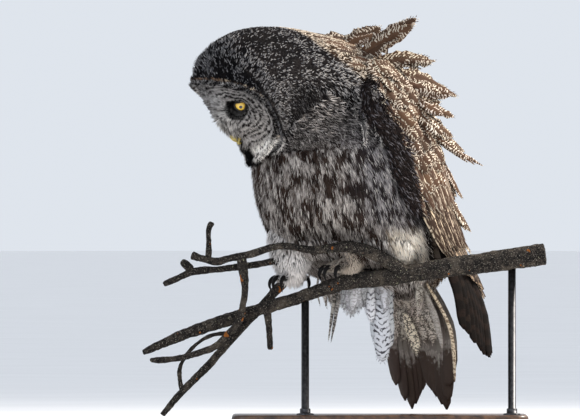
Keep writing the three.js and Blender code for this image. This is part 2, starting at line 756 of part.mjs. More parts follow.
function addLimbs() {
  const trunk = solidOf(trunkGeometry(gap));
  for (const [side, sign] of [['left', 1], ['right', -1]]) {
    const wing = fuse([wingGeometry(sign), ...wingFeathers(sign)]).subtract(trunk);
    addNode(`wing_${side}`, wing, colours.wing);
    const leg = solidOf(legGeometry(side)).subtract(trunk);
    addNode(`leg_${side}`, clearOf(leg, Object.keys(branches)), colours.foot);
    let foot = footSolid(side).subtract(solidOf(legGeometry(side, gap))).subtract(trunk);
    toeSpreads.forEach((spread, index) => {
      foot = foot.subtract(solidOf(clawGeometry(side, spread, gap)));
      const claw = clearOf(solidOf(clawGeometry(side, spread)), Object.keys(branches));
      addNode(`claw_${side}_${index + 1}`, claw, colours.claw, 0.3);
    });
    addNode(`foot_${side}`, clearOf(foot, Object.keys(branches)), colours.foot);
  }
  addNode('tail', tailSolid().subtract(trunk), colours.tail);
}

// Stand: a flat base with two rods up to the branch
function addStand() {
  const { length, depth, thickness, corner } = base;
  const outline = new THREE.Shape();
  const [halfLength, halfDepth] = [length / 2 - corner, depth / 2 - corner];
  const corners = [[halfLength, -halfDepth, -90], [halfLength, halfDepth, 0], [-halfLength, halfDepth, 90],
    [-halfLength, -halfDepth, 180]];
  for (const [x, y, start] of corners) {
    outline.absarc(x, y, corner, start * degree, (start + 90) * degree, false);
  }
  const slab = new THREE.ExtrudeGeometry(outline,
    { depth: thickness, bevelEnabled: false, curveSegments: 6 });
  addNode('stand_base', slab.rotateZ(perchTurn), colours.stand, 0.5);
  const mainBranch = solidOf(branchGeometry('main', gap));
  [[-116, 206], [204, 258]].forEach(([along, top], index) => {
    const rod = new THREE.CylinderGeometry(rodRadius, rodRadius, top - thickness - gap, 16)
      .rotateX(90 * degree);
    const place = perchPlace(along, perchOut - 1, (top + thickness + gap) / 2);
    rod.translate(place.x, place.y, place.z);
    addNode(`stand_rod_${index + 1}`, solidOf(rod).subtract(mainBranch), colours.stand, 0.4, 0.6);
  });
}

addTrunk();
addLimbs();
addPerch();
addStand();

export default owl;
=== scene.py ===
# A great grey owl bowed forward on a forked branch, feather by feather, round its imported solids.
# Sizes are in millimetres, and MM makes them metres where a mesh, a light or the camera is made.
import math

import bpy
import numpy as np
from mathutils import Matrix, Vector, kdtree


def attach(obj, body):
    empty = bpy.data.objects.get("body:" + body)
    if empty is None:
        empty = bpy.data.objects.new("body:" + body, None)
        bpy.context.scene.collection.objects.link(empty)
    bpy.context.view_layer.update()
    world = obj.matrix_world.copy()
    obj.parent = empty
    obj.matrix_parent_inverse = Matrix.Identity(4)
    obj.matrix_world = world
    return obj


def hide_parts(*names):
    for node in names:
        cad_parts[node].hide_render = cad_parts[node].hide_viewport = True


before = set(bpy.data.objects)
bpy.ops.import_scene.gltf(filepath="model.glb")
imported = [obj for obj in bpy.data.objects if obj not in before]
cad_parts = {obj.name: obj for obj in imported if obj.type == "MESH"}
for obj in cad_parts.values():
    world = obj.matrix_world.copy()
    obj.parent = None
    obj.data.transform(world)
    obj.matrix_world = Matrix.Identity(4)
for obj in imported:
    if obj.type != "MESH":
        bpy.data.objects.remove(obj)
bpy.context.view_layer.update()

MM = 0.001
RNG = np.random.default_rng(41)

HEAD_TURN = math.radians(-13)
PERCH_TURN = math.radians(45)
COAT_BODY = 11.0  # depth of the coat over the skin
COAT_FACE = 5.0
EYE_RADIUS = 11.5
EYE_APART = 29.0
EYE_UP = 9.0
PIXEL = 1.55  # millimetres across one pixel of the photo's frame

ALONG = np.array([math.cos(PERCH_TURN), math.sin(PERCH_TURN), 0.0])
OUT = np.array([math.sin(PERCH_TURN), -math.cos(PERCH_TURN), 0.0])
UP = np.array([0.0, 0.0, 1.0])
LEVEL = np.array([1.0, 1.0, 0.0])


def perch_place(along, out, up):
    return along * ALONG + out * OUT + up * UP


def add_object(name, data):
    made = bpy.data.objects.new(name, data)
    bpy.context.scene.collection.objects.link(made)
    return made


CAMERA_DISTANCE = 30000.0
SENSOR = 36.0
IMAGE_WIDTH, IMAGE_HEIGHT = 580, 419
GROUND_ROW, MIDDLE_COLUMN = 425, 380  # the photo's row at the stand's foot and column at its middle


def make_camera():
    data = bpy.data.cameras.new("camera")
    data.sensor_width = SENSOR
    data.lens = SENSOR * CAMERA_DISTANCE / (IMAGE_WIDTH * PIXEL)
    data.clip_end = 200
    camera = add_object("camera", data)
    along = (IMAGE_WIDTH / 2 - MIDDLE_COLUMN) * PIXEL
    up = (GROUND_ROW - IMAGE_HEIGHT / 2) * PIXEL
    camera.location = perch_place(along, CAMERA_DISTANCE + 60, up) * MM
    camera.rotation_mode = "QUATERNION"
    camera.rotation_quaternion = Vector(-OUT).to_track_quat("-Z", "Y")
    bpy.context.scene.camera = camera


make_camera()


def unit(v):
    return v / np.maximum(np.linalg.norm(v, axis=-1, keepdims=True), 1e-12)


def times(way, reach):
    """Directions made as long as reach says."""
    return way * np.asarray(reach)[..., None]


def mix(a, b, share):
    a, b = as_colour(a), as_colour(b)
    return a + (b - a) * np.asarray(share)[..., None]


def drawn(count, low, reach):
    """Random numbers over a reach from low."""
    return low + reach * RNG.random(count)


def ring_turns(count):
    return np.arange(count) * 2 * math.pi / count


def around(turn, side, front):
    return times(side, np.cos(turn)) + times(front, np.sin(turn))


def turned(turn):
    """Degrees from the front, from -180 to 180."""
    return (np.asarray(turn) + 180) % 360 - 180


def spline(rows, t):
    """Smooth rows at the places t, which count rows."""
    rows = np.asarray(rows, float)
    i = np.clip(np.floor(t).astype(int), 0, len(rows) - 2)
    f = (t - i)[..., None]
    p0, p1 = rows[np.maximum(i - 1, 0)], rows[i]
    p2, p3 = rows[i + 1], rows[np.minimum(i + 2, len(rows) - 1)]
    return 0.5 * (2 * p1 + (p2 - p0) * f + (2 * p0 - 5 * p1 + 4 * p2 - p3) * f**2
                  + (3 * p1 - p0 - 3 * p2 + p3) * f**3)


def ease(low, high, value):
    t = np.clip((np.asarray(value, float) - low) / (high - low), 0, 1)
    return t * t * (3 - 2 * t)


def lookup(table, key, column=1):
    table = np.asarray(table, float)
    return np.interp(key, table[:, 0], table[:, column])


# The body's surface, section by section from vent to facial disc, as in the solids

TRUNK_ROWS = [  # y, z, lean in degrees, half depth, half width, x
    [38, 196, -10, 26, 34, -8],
    [20, 208, -8, 62, 66, -9],
    [0, 224, -6, 96, 90, -10],
    [-14, 243, -4, 120, 110, -10],
    [-28, 271, 0, 139, 122, -10],
    [-44, 305, 0, 148, 129, -10],
    [-60, 349, 0, 151, 133, -10],
    [-70, 395, 0, 149, 132, -10],
    [-75, 435, 5, 143, 128, -10],
    [-79, 472, 15, 131, 122, -12],
    [-92, 500, 32, 113, 114, -15],
    [-124, 515, 50, 97, 106, -19],
    [-163, 521, 66, 93, 100, -24],
    [-203, 521, 82, 96, 98, -28],
    [-238, 519, 98, 97, 97, -30],
    [-262, 511, 113, 97, 95, -31],
    [-279, 499, 127, 91, 91, -32],
]
LAST_ROW = len(TRUNK_ROWS) - 1
FACE_START = LAST_ROW + 1  # the disc's rim; one more is its middle
FACE_END = FACE_START + 1
HEAD_ROW = 10
BELLY_LIMITS = [[0, 64], [246, 66], [268, 112], [292, 118], [330, 150], [360, 400]]
DISC_PLACE = np.array([-32.0, -290.0, 485.0])
DISC_LEAN = math.radians(137)
DISC_HIGH, DISC_WIDE = 78.0, 82.0  # half sizes
FRONT_LINE = [[-78, 33], [-50, 30], [-36, 25], [-18, 30], [0, 28], [40, 20], [78, 8]]


def section_axes(at, lean):
    turn = HEAD_TURN * np.clip((at - HEAD_ROW + 3) / 4, 0, 1)
    zero = np.zeros_like(turn)
    level = np.stack([-np.sin(turn), np.cos(turn), zero], -1)
    left = np.stack([np.cos(turn), np.sin(turn), zero], -1)
    back = times(level, np.cos(lean)) + times(UP, np.sin(lean))
    return back, left, np.cross(left, back)


def trunk_point(at, turn, above=0.0):
    """Points over the trunk: place along the rows, turn in degrees from the front to the left."""
    row = spline(TRUNK_ROWS, at)
    back, left, _ = section_axes(at, np.radians(row[..., 2]))
    turn = np.radians(turn)
    place = np.stack([row[..., 5], row[..., 0], row[..., 1]], -1)
    place = place - times(back, np.cos(turn) * (row[..., 3] + above))
    place = place + times(left, np.sin(turn) * (row[..., 4] + above))
    excess = np.maximum(place @ OUT - lookup(BELLY_LIMITS, place[..., 2]) - above, 0)
    return place - times(OUT, excess)


DISC_BACK, DISC_LEFT, DISC_AHEAD = section_axes(np.array(17.0), np.array(DISC_LEAN))


def face_relief(side, up):
    reach = np.abs(side) / DISC_WIDE
    wedge = lookup(FRONT_LINE, up) * np.maximum(1 - reach, 0) ** 1.3 - 20 * reach**2
    from_rim = (np.hypot(reach, up / DISC_HIGH) - 0.93) / 0.05
    dish = 14 * np.exp(-((np.abs(side) - EYE_APART - 4) ** 2 + (up - EYE_UP) ** 2) / 18**2)
    return wedge - dish + 4 * np.exp(-(from_rim**2))


def face_point(side, up, ahead=0.0):
    side, up = np.asarray(side, float), np.asarray(up, float)
    forward = face_relief(side, up) + ahead
    return DISC_PLACE + times(DISC_LEFT, side) + times(DISC_BACK, up) + times(DISC_AHEAD, forward)


def face_flat(at, turn):
    """Distances to the left and up the disc of a place on the face."""
    share = np.clip(FACE_END - at, 0, 1)
    turn = np.radians(turn)
    return np.sin(turn) * DISC_WIDE * share, -np.cos(turn) * DISC_HIGH * share


def body_point(at, turn):
    at, turn = np.broadcast_arrays(np.asarray(at, float), np.asarray(turn, float))
    trunk = trunk_point(np.minimum(at, LAST_ROW), turn)
    face = face_point(*face_flat(np.maximum(at, FACE_START), turn))
    join = ease(0, 1, at - LAST_ROW)
    return times(trunk, 1 - join) + times(face, join)


def hanging(at, turn):
    """How far the feathers of the cheek and throat hang down instead of lying along the body."""
    return ease(8.8, 10.2, at) * ease(15.2, 13.2, at) * ease(112, 84, np.abs(turned(turn)))


def body_axes(at, turn):
    """Surface point, outward normal and the way the feathers lie, from head to tail."""
    step, swing = 0.02, 0.6
    low = np.clip(at - step, 0, FACE_END - 0.02)
    ahead = np.clip(at + step, 0, FACE_END - 0.01)
    along = body_point(ahead, turn) - body_point(low, turn)
    across = body_point(at, turn + swing) - body_point(at, turn - swing)
    normal = unit(np.cross(across, along))
    droop = 0.85 * hanging(at, turn)
    down = unit(normal * normal[..., 2:3] - UP)
    return body_point(at, turn), normal, unit(times(-unit(along), 1 - droop) + times(down, droop))


LATTICE = RNG.random((256, 256))  # seeded noise for the markings


def soft_noise(x, y, layer=0):
    """Smooth values from 0 to 1 over a plane, about one swell for each unit."""
    x = np.asarray(x, float) + 17.3 * layer + 900
    y = np.asarray(y, float) + 31.7 * layer + 900
    i, j = np.floor(x).astype(int), np.floor(y).astype(int)
    f, g = x - i, y - j
    f, g = f * f * (3 - 2 * f), g * g * (3 - 2 * g)
    corner = [[LATTICE[(i + a) % 256, (j + b) % 256] for b in (0, 1)] for a in (0, 1)]
    return (corner[0][0] * (1 - f) * (1 - g) + corner[1][0] * f * (1 - g)
            + corner[0][1] * (1 - f) * g + corner[1][1] * f * g)


def paint(code):
    """Linear colour of a six-figure screen colour."""
    parts = np.array([int(code[i:i + 2], 16) / 255 for i in (0, 2, 4)])
    return np.where(parts < 0.04045, parts / 12.92, ((parts + 0.055) / 1.055) ** 2.4)


def as_colour(value):
    """The colour of a code, and any other value as it is."""
    return paint(value) if isinstance(value, str) else value


def coat_object(name, points, faces, material, tint, maps):
    """Coat piece from arrays; tint has a colour for each point, and each map a place for each corner."""
    faces = np.asarray(faces, np.int32)
    mesh = bpy.data.meshes.new(name)
    mesh.vertices.add(len(points))
    mesh.vertices.foreach_set("co", (points * MM).astype(np.float32).ravel())
    mesh.loops.add(faces.size)
    mesh.loops.foreach_set("vertex_index", faces.ravel())
    mesh.polygons.add(len(faces))
    mesh.polygons.foreach_set("loop_start", np.arange(0, faces.size, 3, dtype=np.int32))
    mesh.update(calc_edges=True)
    mesh.polygons.foreach_set("use_smooth", np.ones(len(faces), bool))
    for label, places in maps.items():
        layer = mesh.uv_layers.new(name=label)
        layer.data.foreach_set("uv", np.asarray(places, np.float32).ravel())
    mesh.uv_layers["OFBake"].active_render = True
    add_colours(mesh, "tint", tint)
    return finish_piece(name, mesh, material)


def hard_object(name, points, faces, material, slot, replaced=None, maps=None):
    """Smooth piece from mixed faces, with one place of each named map for each point."""
    mesh = bpy.data.meshes.new(name)
    mesh.from_pydata((points * MM).tolist(), [], faces)
    order = np.empty(len(mesh.loops), np.int32)
    mesh.loops.foreach_get("vertex_index", order)
    for label, places in (maps or {}).items():
        layer = mesh.uv_layers.new(name=label)
        layer.data.foreach_set("uv", np.asarray(places, np.float32)[order].ravel())
    mesh.polygons.foreach_set("use_smooth", np.ones(len(mesh.polygons), bool))
    return finish_piece(name, mesh, material, replaced)


def finish_piece(name, mesh, material, replaced=None):
    mesh.materials.append(material)
    piece = add_object(name, mesh)
    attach(piece, "root")
    if replaced:
        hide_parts(replaced)
    return piece


def apply_modifiers(carrier):
    graph = bpy.context.evaluated_depsgraph_get()
    final = bpy.data.meshes.new_from_object(carrier.evaluated_get(graph))
    carrier.modifiers.clear()
    carrier.data = final
    return final


def add_colours(mesh, name, colours):
    layer = mesh.color_attributes.new(name=name, type="FLOAT_COLOR", domain="POINT")
    rgba = np.ones((len(mesh.vertices), 4), np.float32)
    rgba[:, :3] = colours
    layer.data.foreach_set("color", rgba.ravel())


# Strands: thin closed blades with a root, a ridge and two edges at the middle, and a tip

STRAND_FACES = np.array([[0, 2, 1], [0, 1, 3], [0, 3, 2], [4, 1, 2], [4, 3, 1], [4, 2, 3]])
STRAND_POINTS = 5
BAKE_PATCH = 0.003
STRAND_PATCH = np.array([[0.5, 0.0], [0.5, 0.4], [1.0, 0.5], [0.0, 0.5], [0.5, 1.0]])


def blade_faces(count):
    return (STRAND_FACES[None] + STRAND_POINTS * np.arange(count)[:, None, None]).reshape(-1, 3)


class Strands:
    """Gathers blades as arrays and turns them into a coat piece."""

    def __init__(self):
        self.points, self.tints, self.roots = [], [], []

    def add(self, place, normal, flow, length, width, heights, tints, root_uv, bend=0.45, aside=0.0):
        """Blades along flow; heights over the surface and tints are for the root, the middle and the tip."""
        low, mid, high = (times(normal, height) for height in heights)
        root, tip = place + low, place + times(flow, length) + high
        middle = place + times(flow, bend * length) + mid + aside
        ahead = unit(tip - root)
        facing = unit(normal - ahead * np.sum(normal * ahead, -1, keepdims=True))
        side = np.cross(ahead, facing)
        half = times(side, 0.5 * width)
        deep = times(facing, 0.3 * width)
        self.points.append(np.stack([root, middle + deep, middle + half, middle - half, tip], 1))
        tints = [np.broadcast_to(tint, root.shape) for tint in tints]
        self.tints.append(np.stack([tints[0]] + [tints[1]] * 3 + [tints[2]], 1))
        self.roots.append(root_uv)

    def piece(self, name, material, slot):
        points = np.concatenate(self.points)
        patch = np.concatenate(self.roots)[:, None] + (STRAND_PATCH - 0.5)[None] * BAKE_PATCH
        corners = patch[:, STRAND_FACES.ravel()].reshape(-1, 2)
        coat_object(name, points.reshape(-1, 3), blade_faces(len(points)), material,
                    np.concatenate(self.tints).reshape(-1, 3), {"OFBake": corners})


def scatter(count, at_range, turn_range):
    """Even random places over a stretch of the body, as places along the rows and turns."""
    at = np.linspace(*at_range, 160)
    turn = np.linspace(*turn_range, 200)
    at_step, turn_step = at[1] - at[0], turn[1] - turn[0]
    grid_at, grid_turn = np.meshgrid((at[1:] + at[:-1]) / 2, (turn[1:] + turn[:-1]) / 2, indexing="ij")
    high = body_point(grid_at + at_step / 2, grid_turn) - body_point(grid_at - at_step / 2, grid_turn)
    wide = body_point(grid_at, grid_turn + 0.5) - body_point(grid_at, grid_turn - 0.5)
    weight = np.linalg.norm(np.cross(high, wide), axis=-1)
    weight = weight.ravel() / weight.sum()
    steps = (np.arange(count) + RNG.random(count)) / count
    cell = np.clip(np.searchsorted(np.cumsum(weight), steps), 0, weight.size - 1)
    place_at = grid_at.ravel()[cell] + (RNG.random(count) - 0.5) * at_step
    place_turn = grid_turn.ravel()[cell] + (RNG.random(count) - 0.5) * turn_step
    return np.clip(place_at, 0.02, FACE_END - 0.03), place_turn


def unwrap(at, turn):
    round_share = (np.asarray(turn) / 360) % 1.0
    return 0.02 + 0.96 * np.stack([round_share, np.asarray(at) / FACE_END], -1)


ROW_SPACING = [0]  # distance along the body at each row
for low_row, high_row in zip(TRUNK_ROWS, TRUNK_ROWS[1:]):
    ROW_SPACING.append(ROW_SPACING[-1] + math.dist(low_row[:2], high_row[:2]))
ROW_SPACING += [ROW_SPACING[-1] + 26, ROW_SPACING[-1] + 106]


def flat_place(at, turn):
    """Millimetres round the body and along it."""
    wide = np.interp(at, np.arange(len(TRUNK_ROWS)), [row[4] for row in TRUNK_ROWS])
    return np.radians(turned(turn)) * wide, np.interp(at, np.arange(len(ROW_SPACING)), ROW_SPACING)


def breast_tint(at, turn):
    """Short dark streaks between pale wisps, bluer toward the wing, with a creamy patch of painted sunlight
    low on the flank and a black edge of painted shade along the wing.
    """
    across, along = flat_place(at, turn)
    swung = np.abs(turn)
    bend = 7 * soft_noise(across / 30, along / 40, 1)
    blotch = soft_noise((across + bend) / 6.4, along / 20, 2)
    streak = blotch * 0.5 + soft_noise(across / 2.4, along / 9, 3) * 0.5
    dark = ease(0.40, 0.60, streak + 0.045 * ease(5.5, 9, at) - 0.05 * ease(5.2, 3, at))
    pale = mix("77706c", "cbc4be", soft_noise(across / 3.4, along / 12, 4))
    deep = mix("1f1918", "453831", soft_noise(across / 6, along / 14, 5))
    side = ease(42, 70, swung) * ease(4.6, 6, at)
    pale = mix(pale, "8b8b92", 0.6 * side)
    deep = mix(deep, "2b2b30", 0.6 * side)
    # Painted sunlight: a creamy pool of light low on the flank, with fewer dark streaks inside it.
    sunlit_patch = ease(66, 73, swung) * ease(100, 95, swung) * ease(5.35, 4.95, at) * ease(2.5, 3.2, at)
    pale = mix(pale, "fff8ec", sunlit_patch)
    deep = mix(deep, "a08a68", sunlit_patch)
    dark = dark * (1 - 0.62 * sunlit_patch)
    # Painted shade: black is the ragged near-black shadow band where the breast meets the wing's front edge,
    # with a second stretch lower down, further round the side.
    ragged = 16 * (soft_noise(across / 4, along / 16, 13) - 0.5)
    black = ease(79, 89, swung + ragged + 2.0 * (at - 7)) * ease(4.9, 5.4, at) * ease(10.9, 10.2, at)
    black = np.maximum(black, ease(96, 101, swung) * ease(5.4, 5.0, at) * ease(2.2, 3.2, at))
    deep = mix(deep, "161413", black)
    dark = np.maximum(dark, 0.96 * black)
    return mix(pale, deep, dark), dark, black


def crown_tint(at, turn):
    """Near-black with brown freckles."""
    across, along = flat_place(at, turn)
    warm = soft_noise(across / 9, along / 14, 6)
    return mix("0b0b0d", "1c1919", warm)


MANTLE_EDGE = [[9.4, 92], [10, 82], [10.75, 75], [11.5, 65], [12, 56], [12.5, 45], [12.8, 30], [13.05, 15],
               [13.3, 0]]  # row and degrees from the back


def in_mantle(at, turn):
    """How far a place is inside the brown mantle that narrows up the nape."""
    from_back = 180 - np.abs(turned(turn))
    return ease(4, -4, from_back - lookup(MANTLE_EDGE, at)) * ease(13.35, 13.1, at)


def mantle_tint(at, turn):
    across, along = flat_place(at, turn)
    wave = soft_noise(across / 5, along / 4.2, 7)
    return mix("30241c", "8f8070", 0.8 * ease(0.5, 0.66, wave))


def face_tint(side, up):
    """Grey disc with broken dark rings round each eye, pale lores, a black chin and a thin rim."""
    reach = np.abs(side)
    inward = reach < EYE_APART + 6
    eye_side = reach - EYE_APART
    radius = np.hypot(eye_side, (up - EYE_UP) * 0.96)
    angle = np.arctan2(up - EYE_UP, eye_side)
    wobble = 7.5 * soft_noise(angle * 2.8 + 3, radius / 12, 8) + 2.6 * soft_noise(angle * 9, radius / 5, 15)
    ring = 0.5 + 0.5 * np.cos((radius + wobble) * 2 * math.pi / 7.2)
    breaks = soft_noise(angle * 13, radius / 3.4, 14)
    grain = soft_noise(side / 2.1, up / 2.1, 9)
    dark = ease(0.45, 0.74, ring * 0.36 + breaks * 0.42 + grain * 0.34)
    tint = mix(mix("8b8682", "c4bfba", grain), "221d1c", dark)
    lores = ease(27, 12, reach) * ease(-22, -10, up) * ease(26, 12, up)
    brow = ease(1.0, 0.5, np.hypot((reach - 15) / 12, (up - 31) / 15))
    pale = np.maximum(lores, brow) * inward
    tint = mix(tint, mix("c4c0bb", "4a4644", ease(0.4, 0.8, grain)), 0.85 * pale)
    patch = ease(1.0, 0.6, np.hypot((reach - 28) / 11.5, (up - 15) / 14.5))
    patch = np.maximum(patch, 0.9 * ease(15.5, 12.5, np.hypot(reach - EYE_APART, up - EYE_UP)))
    tint = mix(tint, "090808", patch)
    rim_reach = np.hypot(side / DISC_WIDE, up / DISC_HIGH)
    rim = ease(0.962, 0.98, rim_reach)
    speck = soft_noise(side / 2.4, up / 2.4, 12)
    brown = mix("1b1715", "4f3f33", ease(0.4, 0.6, speck))
    bright = mix("6a5443", "c2b49e", ease(40, 58, reach))
    tint = mix(tint, mix(brown, bright, 0.85 * ease(0.57, 0.66, speck)), rim)
    chin = ease(15, 9, reach) * ease(-40, -47, up)
    tint = mix(tint, "0c0b0b", chin)
    white = ease(9, 16, reach) * ease(60, 48, reach) * ease(-47, -58, up)
    return mix(tint, mix("f1ede6", "4a4543", ease(0.5, 0.75, grain)), white)


def body_tint(at, turn):
    at, turn = np.broadcast_arrays(np.asarray(at, float), np.asarray(turn, float))
    tint = mix(breast_tint(at, turned(turn))[0], crown_tint(at, turn), ease(9.2, 11.0, at))
    brown = np.where(at > 9.4, in_mantle(at, turn), ease(95, 118, np.abs(turned(turn))))
    tint = mix(tint, mantle_tint(at, turn), brown)
    return mix(tint, face_tint(*face_flat(at, turn)), ease(LAST_ROW + 0.5, LAST_ROW + 0.95, at))


class Graph:
    """A node tree with short ways to add nodes; a value is a number, a colour or another node's socket."""

    def __init__(self, tree):
        self.tree = tree

    def fill(self, made, values):
        for key, value in values.items():
            if isinstance(value, bpy.types.NodeSocket):
                self.tree.links.new(value, made.inputs[key])
            elif isinstance(value, np.ndarray):
                made.inputs[key].default_value = (*value, 1.0)
            else:
                made.inputs[key].default_value = value

    def add(self, kind, out, values, **settings):
        made = self.tree.nodes.new(kind)
        for key, value in settings.items():
            setattr(made, key, value)
        self.fill(made, values)
        return made.outputs[out]

    def sum(self, operation, *values, clamp=False):
        return self.add("ShaderNodeMath", 0, dict(enumerate(values)), operation=operation, use_clamp=clamp)

    def scaled(self, vector, factor):
        return self.add("ShaderNodeVectorMath", "Vector", {0: vector, "Scale": factor}, operation="SCALE")


class Finish(Graph):
    """A material, with the patterns that the finishes here are made of."""

    def __init__(self, name):
        self.material = bpy.data.materials.new(name)
        self.material.use_nodes = True
        super().__init__(self.material.node_tree)

    def place(self):
        return self.add("ShaderNodeTexCoord", "Object", {})

    def tint(self, name):
        return self.add("ShaderNodeAttribute", "Color", {}, attribute_name=name)

    def flat_parts(self, name):
        """The two places of a UV map."""
        parts = self.tree.nodes.new("ShaderNodeSeparateXYZ")
        self.fill(parts, {0: self.add("ShaderNodeUVMap", "UV", {}, uv_map=name)})
        return parts.outputs[0], parts.outputs[1]

    def cloud(self, place, scale, detail, out="Fac", **more):
        values = {"Vector": place, "Scale": scale, "Detail": detail, **more}
        return self.add("ShaderNodeTexNoise", out, values)

    def slide(self, value, low, high):
        """Eases from 0 to 1 as the value goes from low to high."""
        return self.add("ShaderNodeMapRange", "Result", {"Value": value, "From Min": low, "From Max": high},
                        interpolation_type="SMOOTHSTEP")

    def spread(self, value, low, high):
        """Takes 0 to 1 to low to high."""
        return self.add("ShaderNodeMapRange", "Result", {"Value": value, "To Min": low, "To Max": high})

    def blend(self, share, a, b):
        return self.add("ShaderNodeMix", "Result", {"Factor": share, "A": a, "B": b}, data_type="RGBA")

    def ramp(self, value, stops):
        made = self.tree.nodes.new("ShaderNodeValToRGB")
        elements = made.color_ramp.elements
        while len(elements) < len(stops):
            elements.new(0.5)
        for element, (place, code) in zip(elements, stops):
            element.position = place
            element.color = (*paint(code), 1.0)
        self.fill(made, {"Fac": value})
        return made.outputs["Color"]

    def bump(self, height, strength, depth):
        values = {"Height": height, "Strength": strength, "Distance": depth}
        return self.add("ShaderNodeBump", "Normal", values)

    def done(self, colour, roughness, **values):
        """Values name the shader's sockets, with _ for a space."""
        shader = self.tree.nodes["Principled BSDF"]
        sockets = {key.replace("_", " "): value for key, value in values.items()}
        self.fill(shader, {"Base Color": colour, "Roughness": roughness, **sockets})
        return self.material


def plumage_material(name, grain_scale=900):
    """Strands in the colours of their own points, with fine grain along them."""
    finish = Finish(name)
    shade = finish.spread(finish.cloud(finish.place(), grain_scale, 2.0), 0.72, 1.28)
    return finish.done(finish.scaled(finish.tint("tint"), shade), 0.85, Specular_IOR_Level=0.05)


# Skin: lofts of the trunk, wings, legs, feet and tail root, joined into one closed surface

def loft_mesh(rings):
    """Points and quads of a tube closed with a fan at each end."""
    rings = np.asarray(rings)
    count, sides = rings.shape[:2]
    points = np.concatenate([rings.reshape(-1, 3), [rings[0].mean(0)], [rings[-1].mean(0)]])
    first, last = count * sides, count * sides + 1
    faces = []
    for i in range(count - 1):
        for k in range(sides):
            a, b = i * sides + k, i * sides + (k + 1) % sides
            faces.append([a, b, b + sides, a + sides])
    for k in range(sides):
        after = (k + 1) % sides
        faces.append([first, after, k])
        faces.append([last, (count - 1) * sides + k, (count - 1) * sides + after])
    return points, faces


def limb_rings(places, radii, steps, sides, facing=None):
    """Round rings along a smooth line; facing keeps them from twisting."""
    t = np.linspace(0, len(places) - 1, steps)
    line = spline(places, t)
    width = spline(np.asarray(radii, float)[:, None], t)
    ahead = unit(np.gradient(line, axis=0))
    if facing is None:
        facing = np.array([0.3, 0.2, 0.93])
        if abs(unit(line[-1] - line[0]) @ facing) > 0.8:
            facing = np.array([0.8, -0.6, 0.05])
    side = unit(np.cross(ahead, facing))
    front = np.cross(side, ahead)
    return line[:, None] + around(ring_turns(sides), side[:, None], -front[:, None]) * width[:, None]


FLANK_ROWS = [  # z, y, half depth, half width
    [90, 34, 144, 144],
    [150, 24, 150, 147],
    [210, 4, 152, 146],
    [271, -24, 150, 136],
    [305, -42, 150, 132],
    [349, -60, 152, 134],
    [395, -70, 150, 133],
    [435, -76, 143, 129],
    [472, -82, 132, 122],
    [510, -88, 114, 110],
    [555, -98, 80, 88],
]
FLANK_MIDDLE = -10
WING_ROWS = [  # z, front edge, back edge, lift
    [104, 101, 136, 14],
    [135, 99, 144, 15],
    [185, 100, 152, 11],
    [240, 102, 160, 8],
    [300, 102, 164, 10],
    [350, 98, 164, 12],
    [403, 90, 162, 12],
    [450, 81, 160, 12],
    [490, 71, 156, 13],
    [522, 74, 146, 15],
    [540, 88, 132, 12],
]
RIGHT_TUCK = [[112, 16], [240, 8], [350, 0]]


def on_wing(side, share, up, above):
    """Points on a folded wing by share from front edge to back, height and lift."""
    side, share, up, above = np.broadcast_arrays(side, np.asarray(share, float), up, above)
    tuck = np.where(side < 0, lookup(RIGHT_TUCK, up), 0)
    turn = lookup(WING_ROWS, up) * (1 - share) + lookup(WING_ROWS, up, 2) * share + tuck
    swell = np.sin(math.pi * (0.1 + 0.8 * np.clip(share, 0, 1)))
    lift = 2 + lookup(WING_ROWS, up, 3) * swell + above
    turn = np.radians(turn)
    deep, wide, middle = (lookup(FLANK_ROWS, up, k) for k in (2, 3, 1))
    across, behind = np.sin(turn), -np.cos(turn)
    normal = unit(np.stack([across / wide, behind / deep, np.zeros_like(wide)], -1))
    point = np.stack([across * wide, middle + behind * deep, np.asarray(up, float)], -1)
    point = point + times(normal, lift)
    point[..., 0] = side * point[..., 0] + FLANK_MIDDLE
    return point


def wing_arm(side):
    """Closed slab under the wing's coverts."""
    heights = [row[0] for row in WING_ROWS[3:]]
    up, share = np.meshgrid(heights, np.linspace(0.03, 0.97, 10), indexing="ij")
    outer = on_wing(side, share, up, np.where(up < 260, -11.0, -8.0))
    inner = on_wing(side, share, up, -26.0)
    return loft_mesh(np.concatenate([outer, inner[:, ::-1]], 1))


LEGS = {  # places of the hip, knee and ankle, and radii
    "left": ([(-45, 62, 300), (-48, 84, 268), (-46, 97, 248)], [34, 26, 15]),
    "right": ([(-136, 62, 300), (-137, 84, 266), (-136, 97, 242)], [38, 30, 15]),
}
TOE_SPREADS = [-28, 0, 28, 180]
TOE_REACHES = {"left": (36, 5), "right": (23, 15), "back": (19, 14)}  # reach and drop
TAIL_ROOT = np.array([-6.0, 44.0, 262.0])
TAIL_AXIS = unit(np.array([9.0, 76.0, -235.0]))
TAIL_FACE = np.array([0, TAIL_AXIS[2], -TAIL_AXIS[1]])
TAIL_LENGTH = 250


def tail_point(side, down, face):
    side, down, face = np.broadcast_arrays(np.asarray(side, float), down, face)
    aside = times(np.array([1.0, 0, 0]), side)
    return TAIL_ROOT + times(TAIL_AXIS, down) + times(TAIL_FACE, face) + aside


def leg_line(side):
    return [perch_place(*place) for place in LEGS[side][0]]


def toe_line(side, spread):
    ankle = leg_line(side)[2]
    turn = math.radians(spread + 12)
    ahead = np.array([-math.sin(turn), -math.cos(turn), 0])
    reach, drop = TOE_REACHES["back" if spread == 180 else side]
    knuckle = ankle + ahead * reach * 0.55 + (7 - drop) * UP
    return np.array([ankle - 2 * UP, knuckle, ankle + ahead * reach - drop * UP])


BRIDGE_TURNS = (6, 86)
BRIDGE_ROWS = (14.2, 8.1)  # from the cheek down to the breast


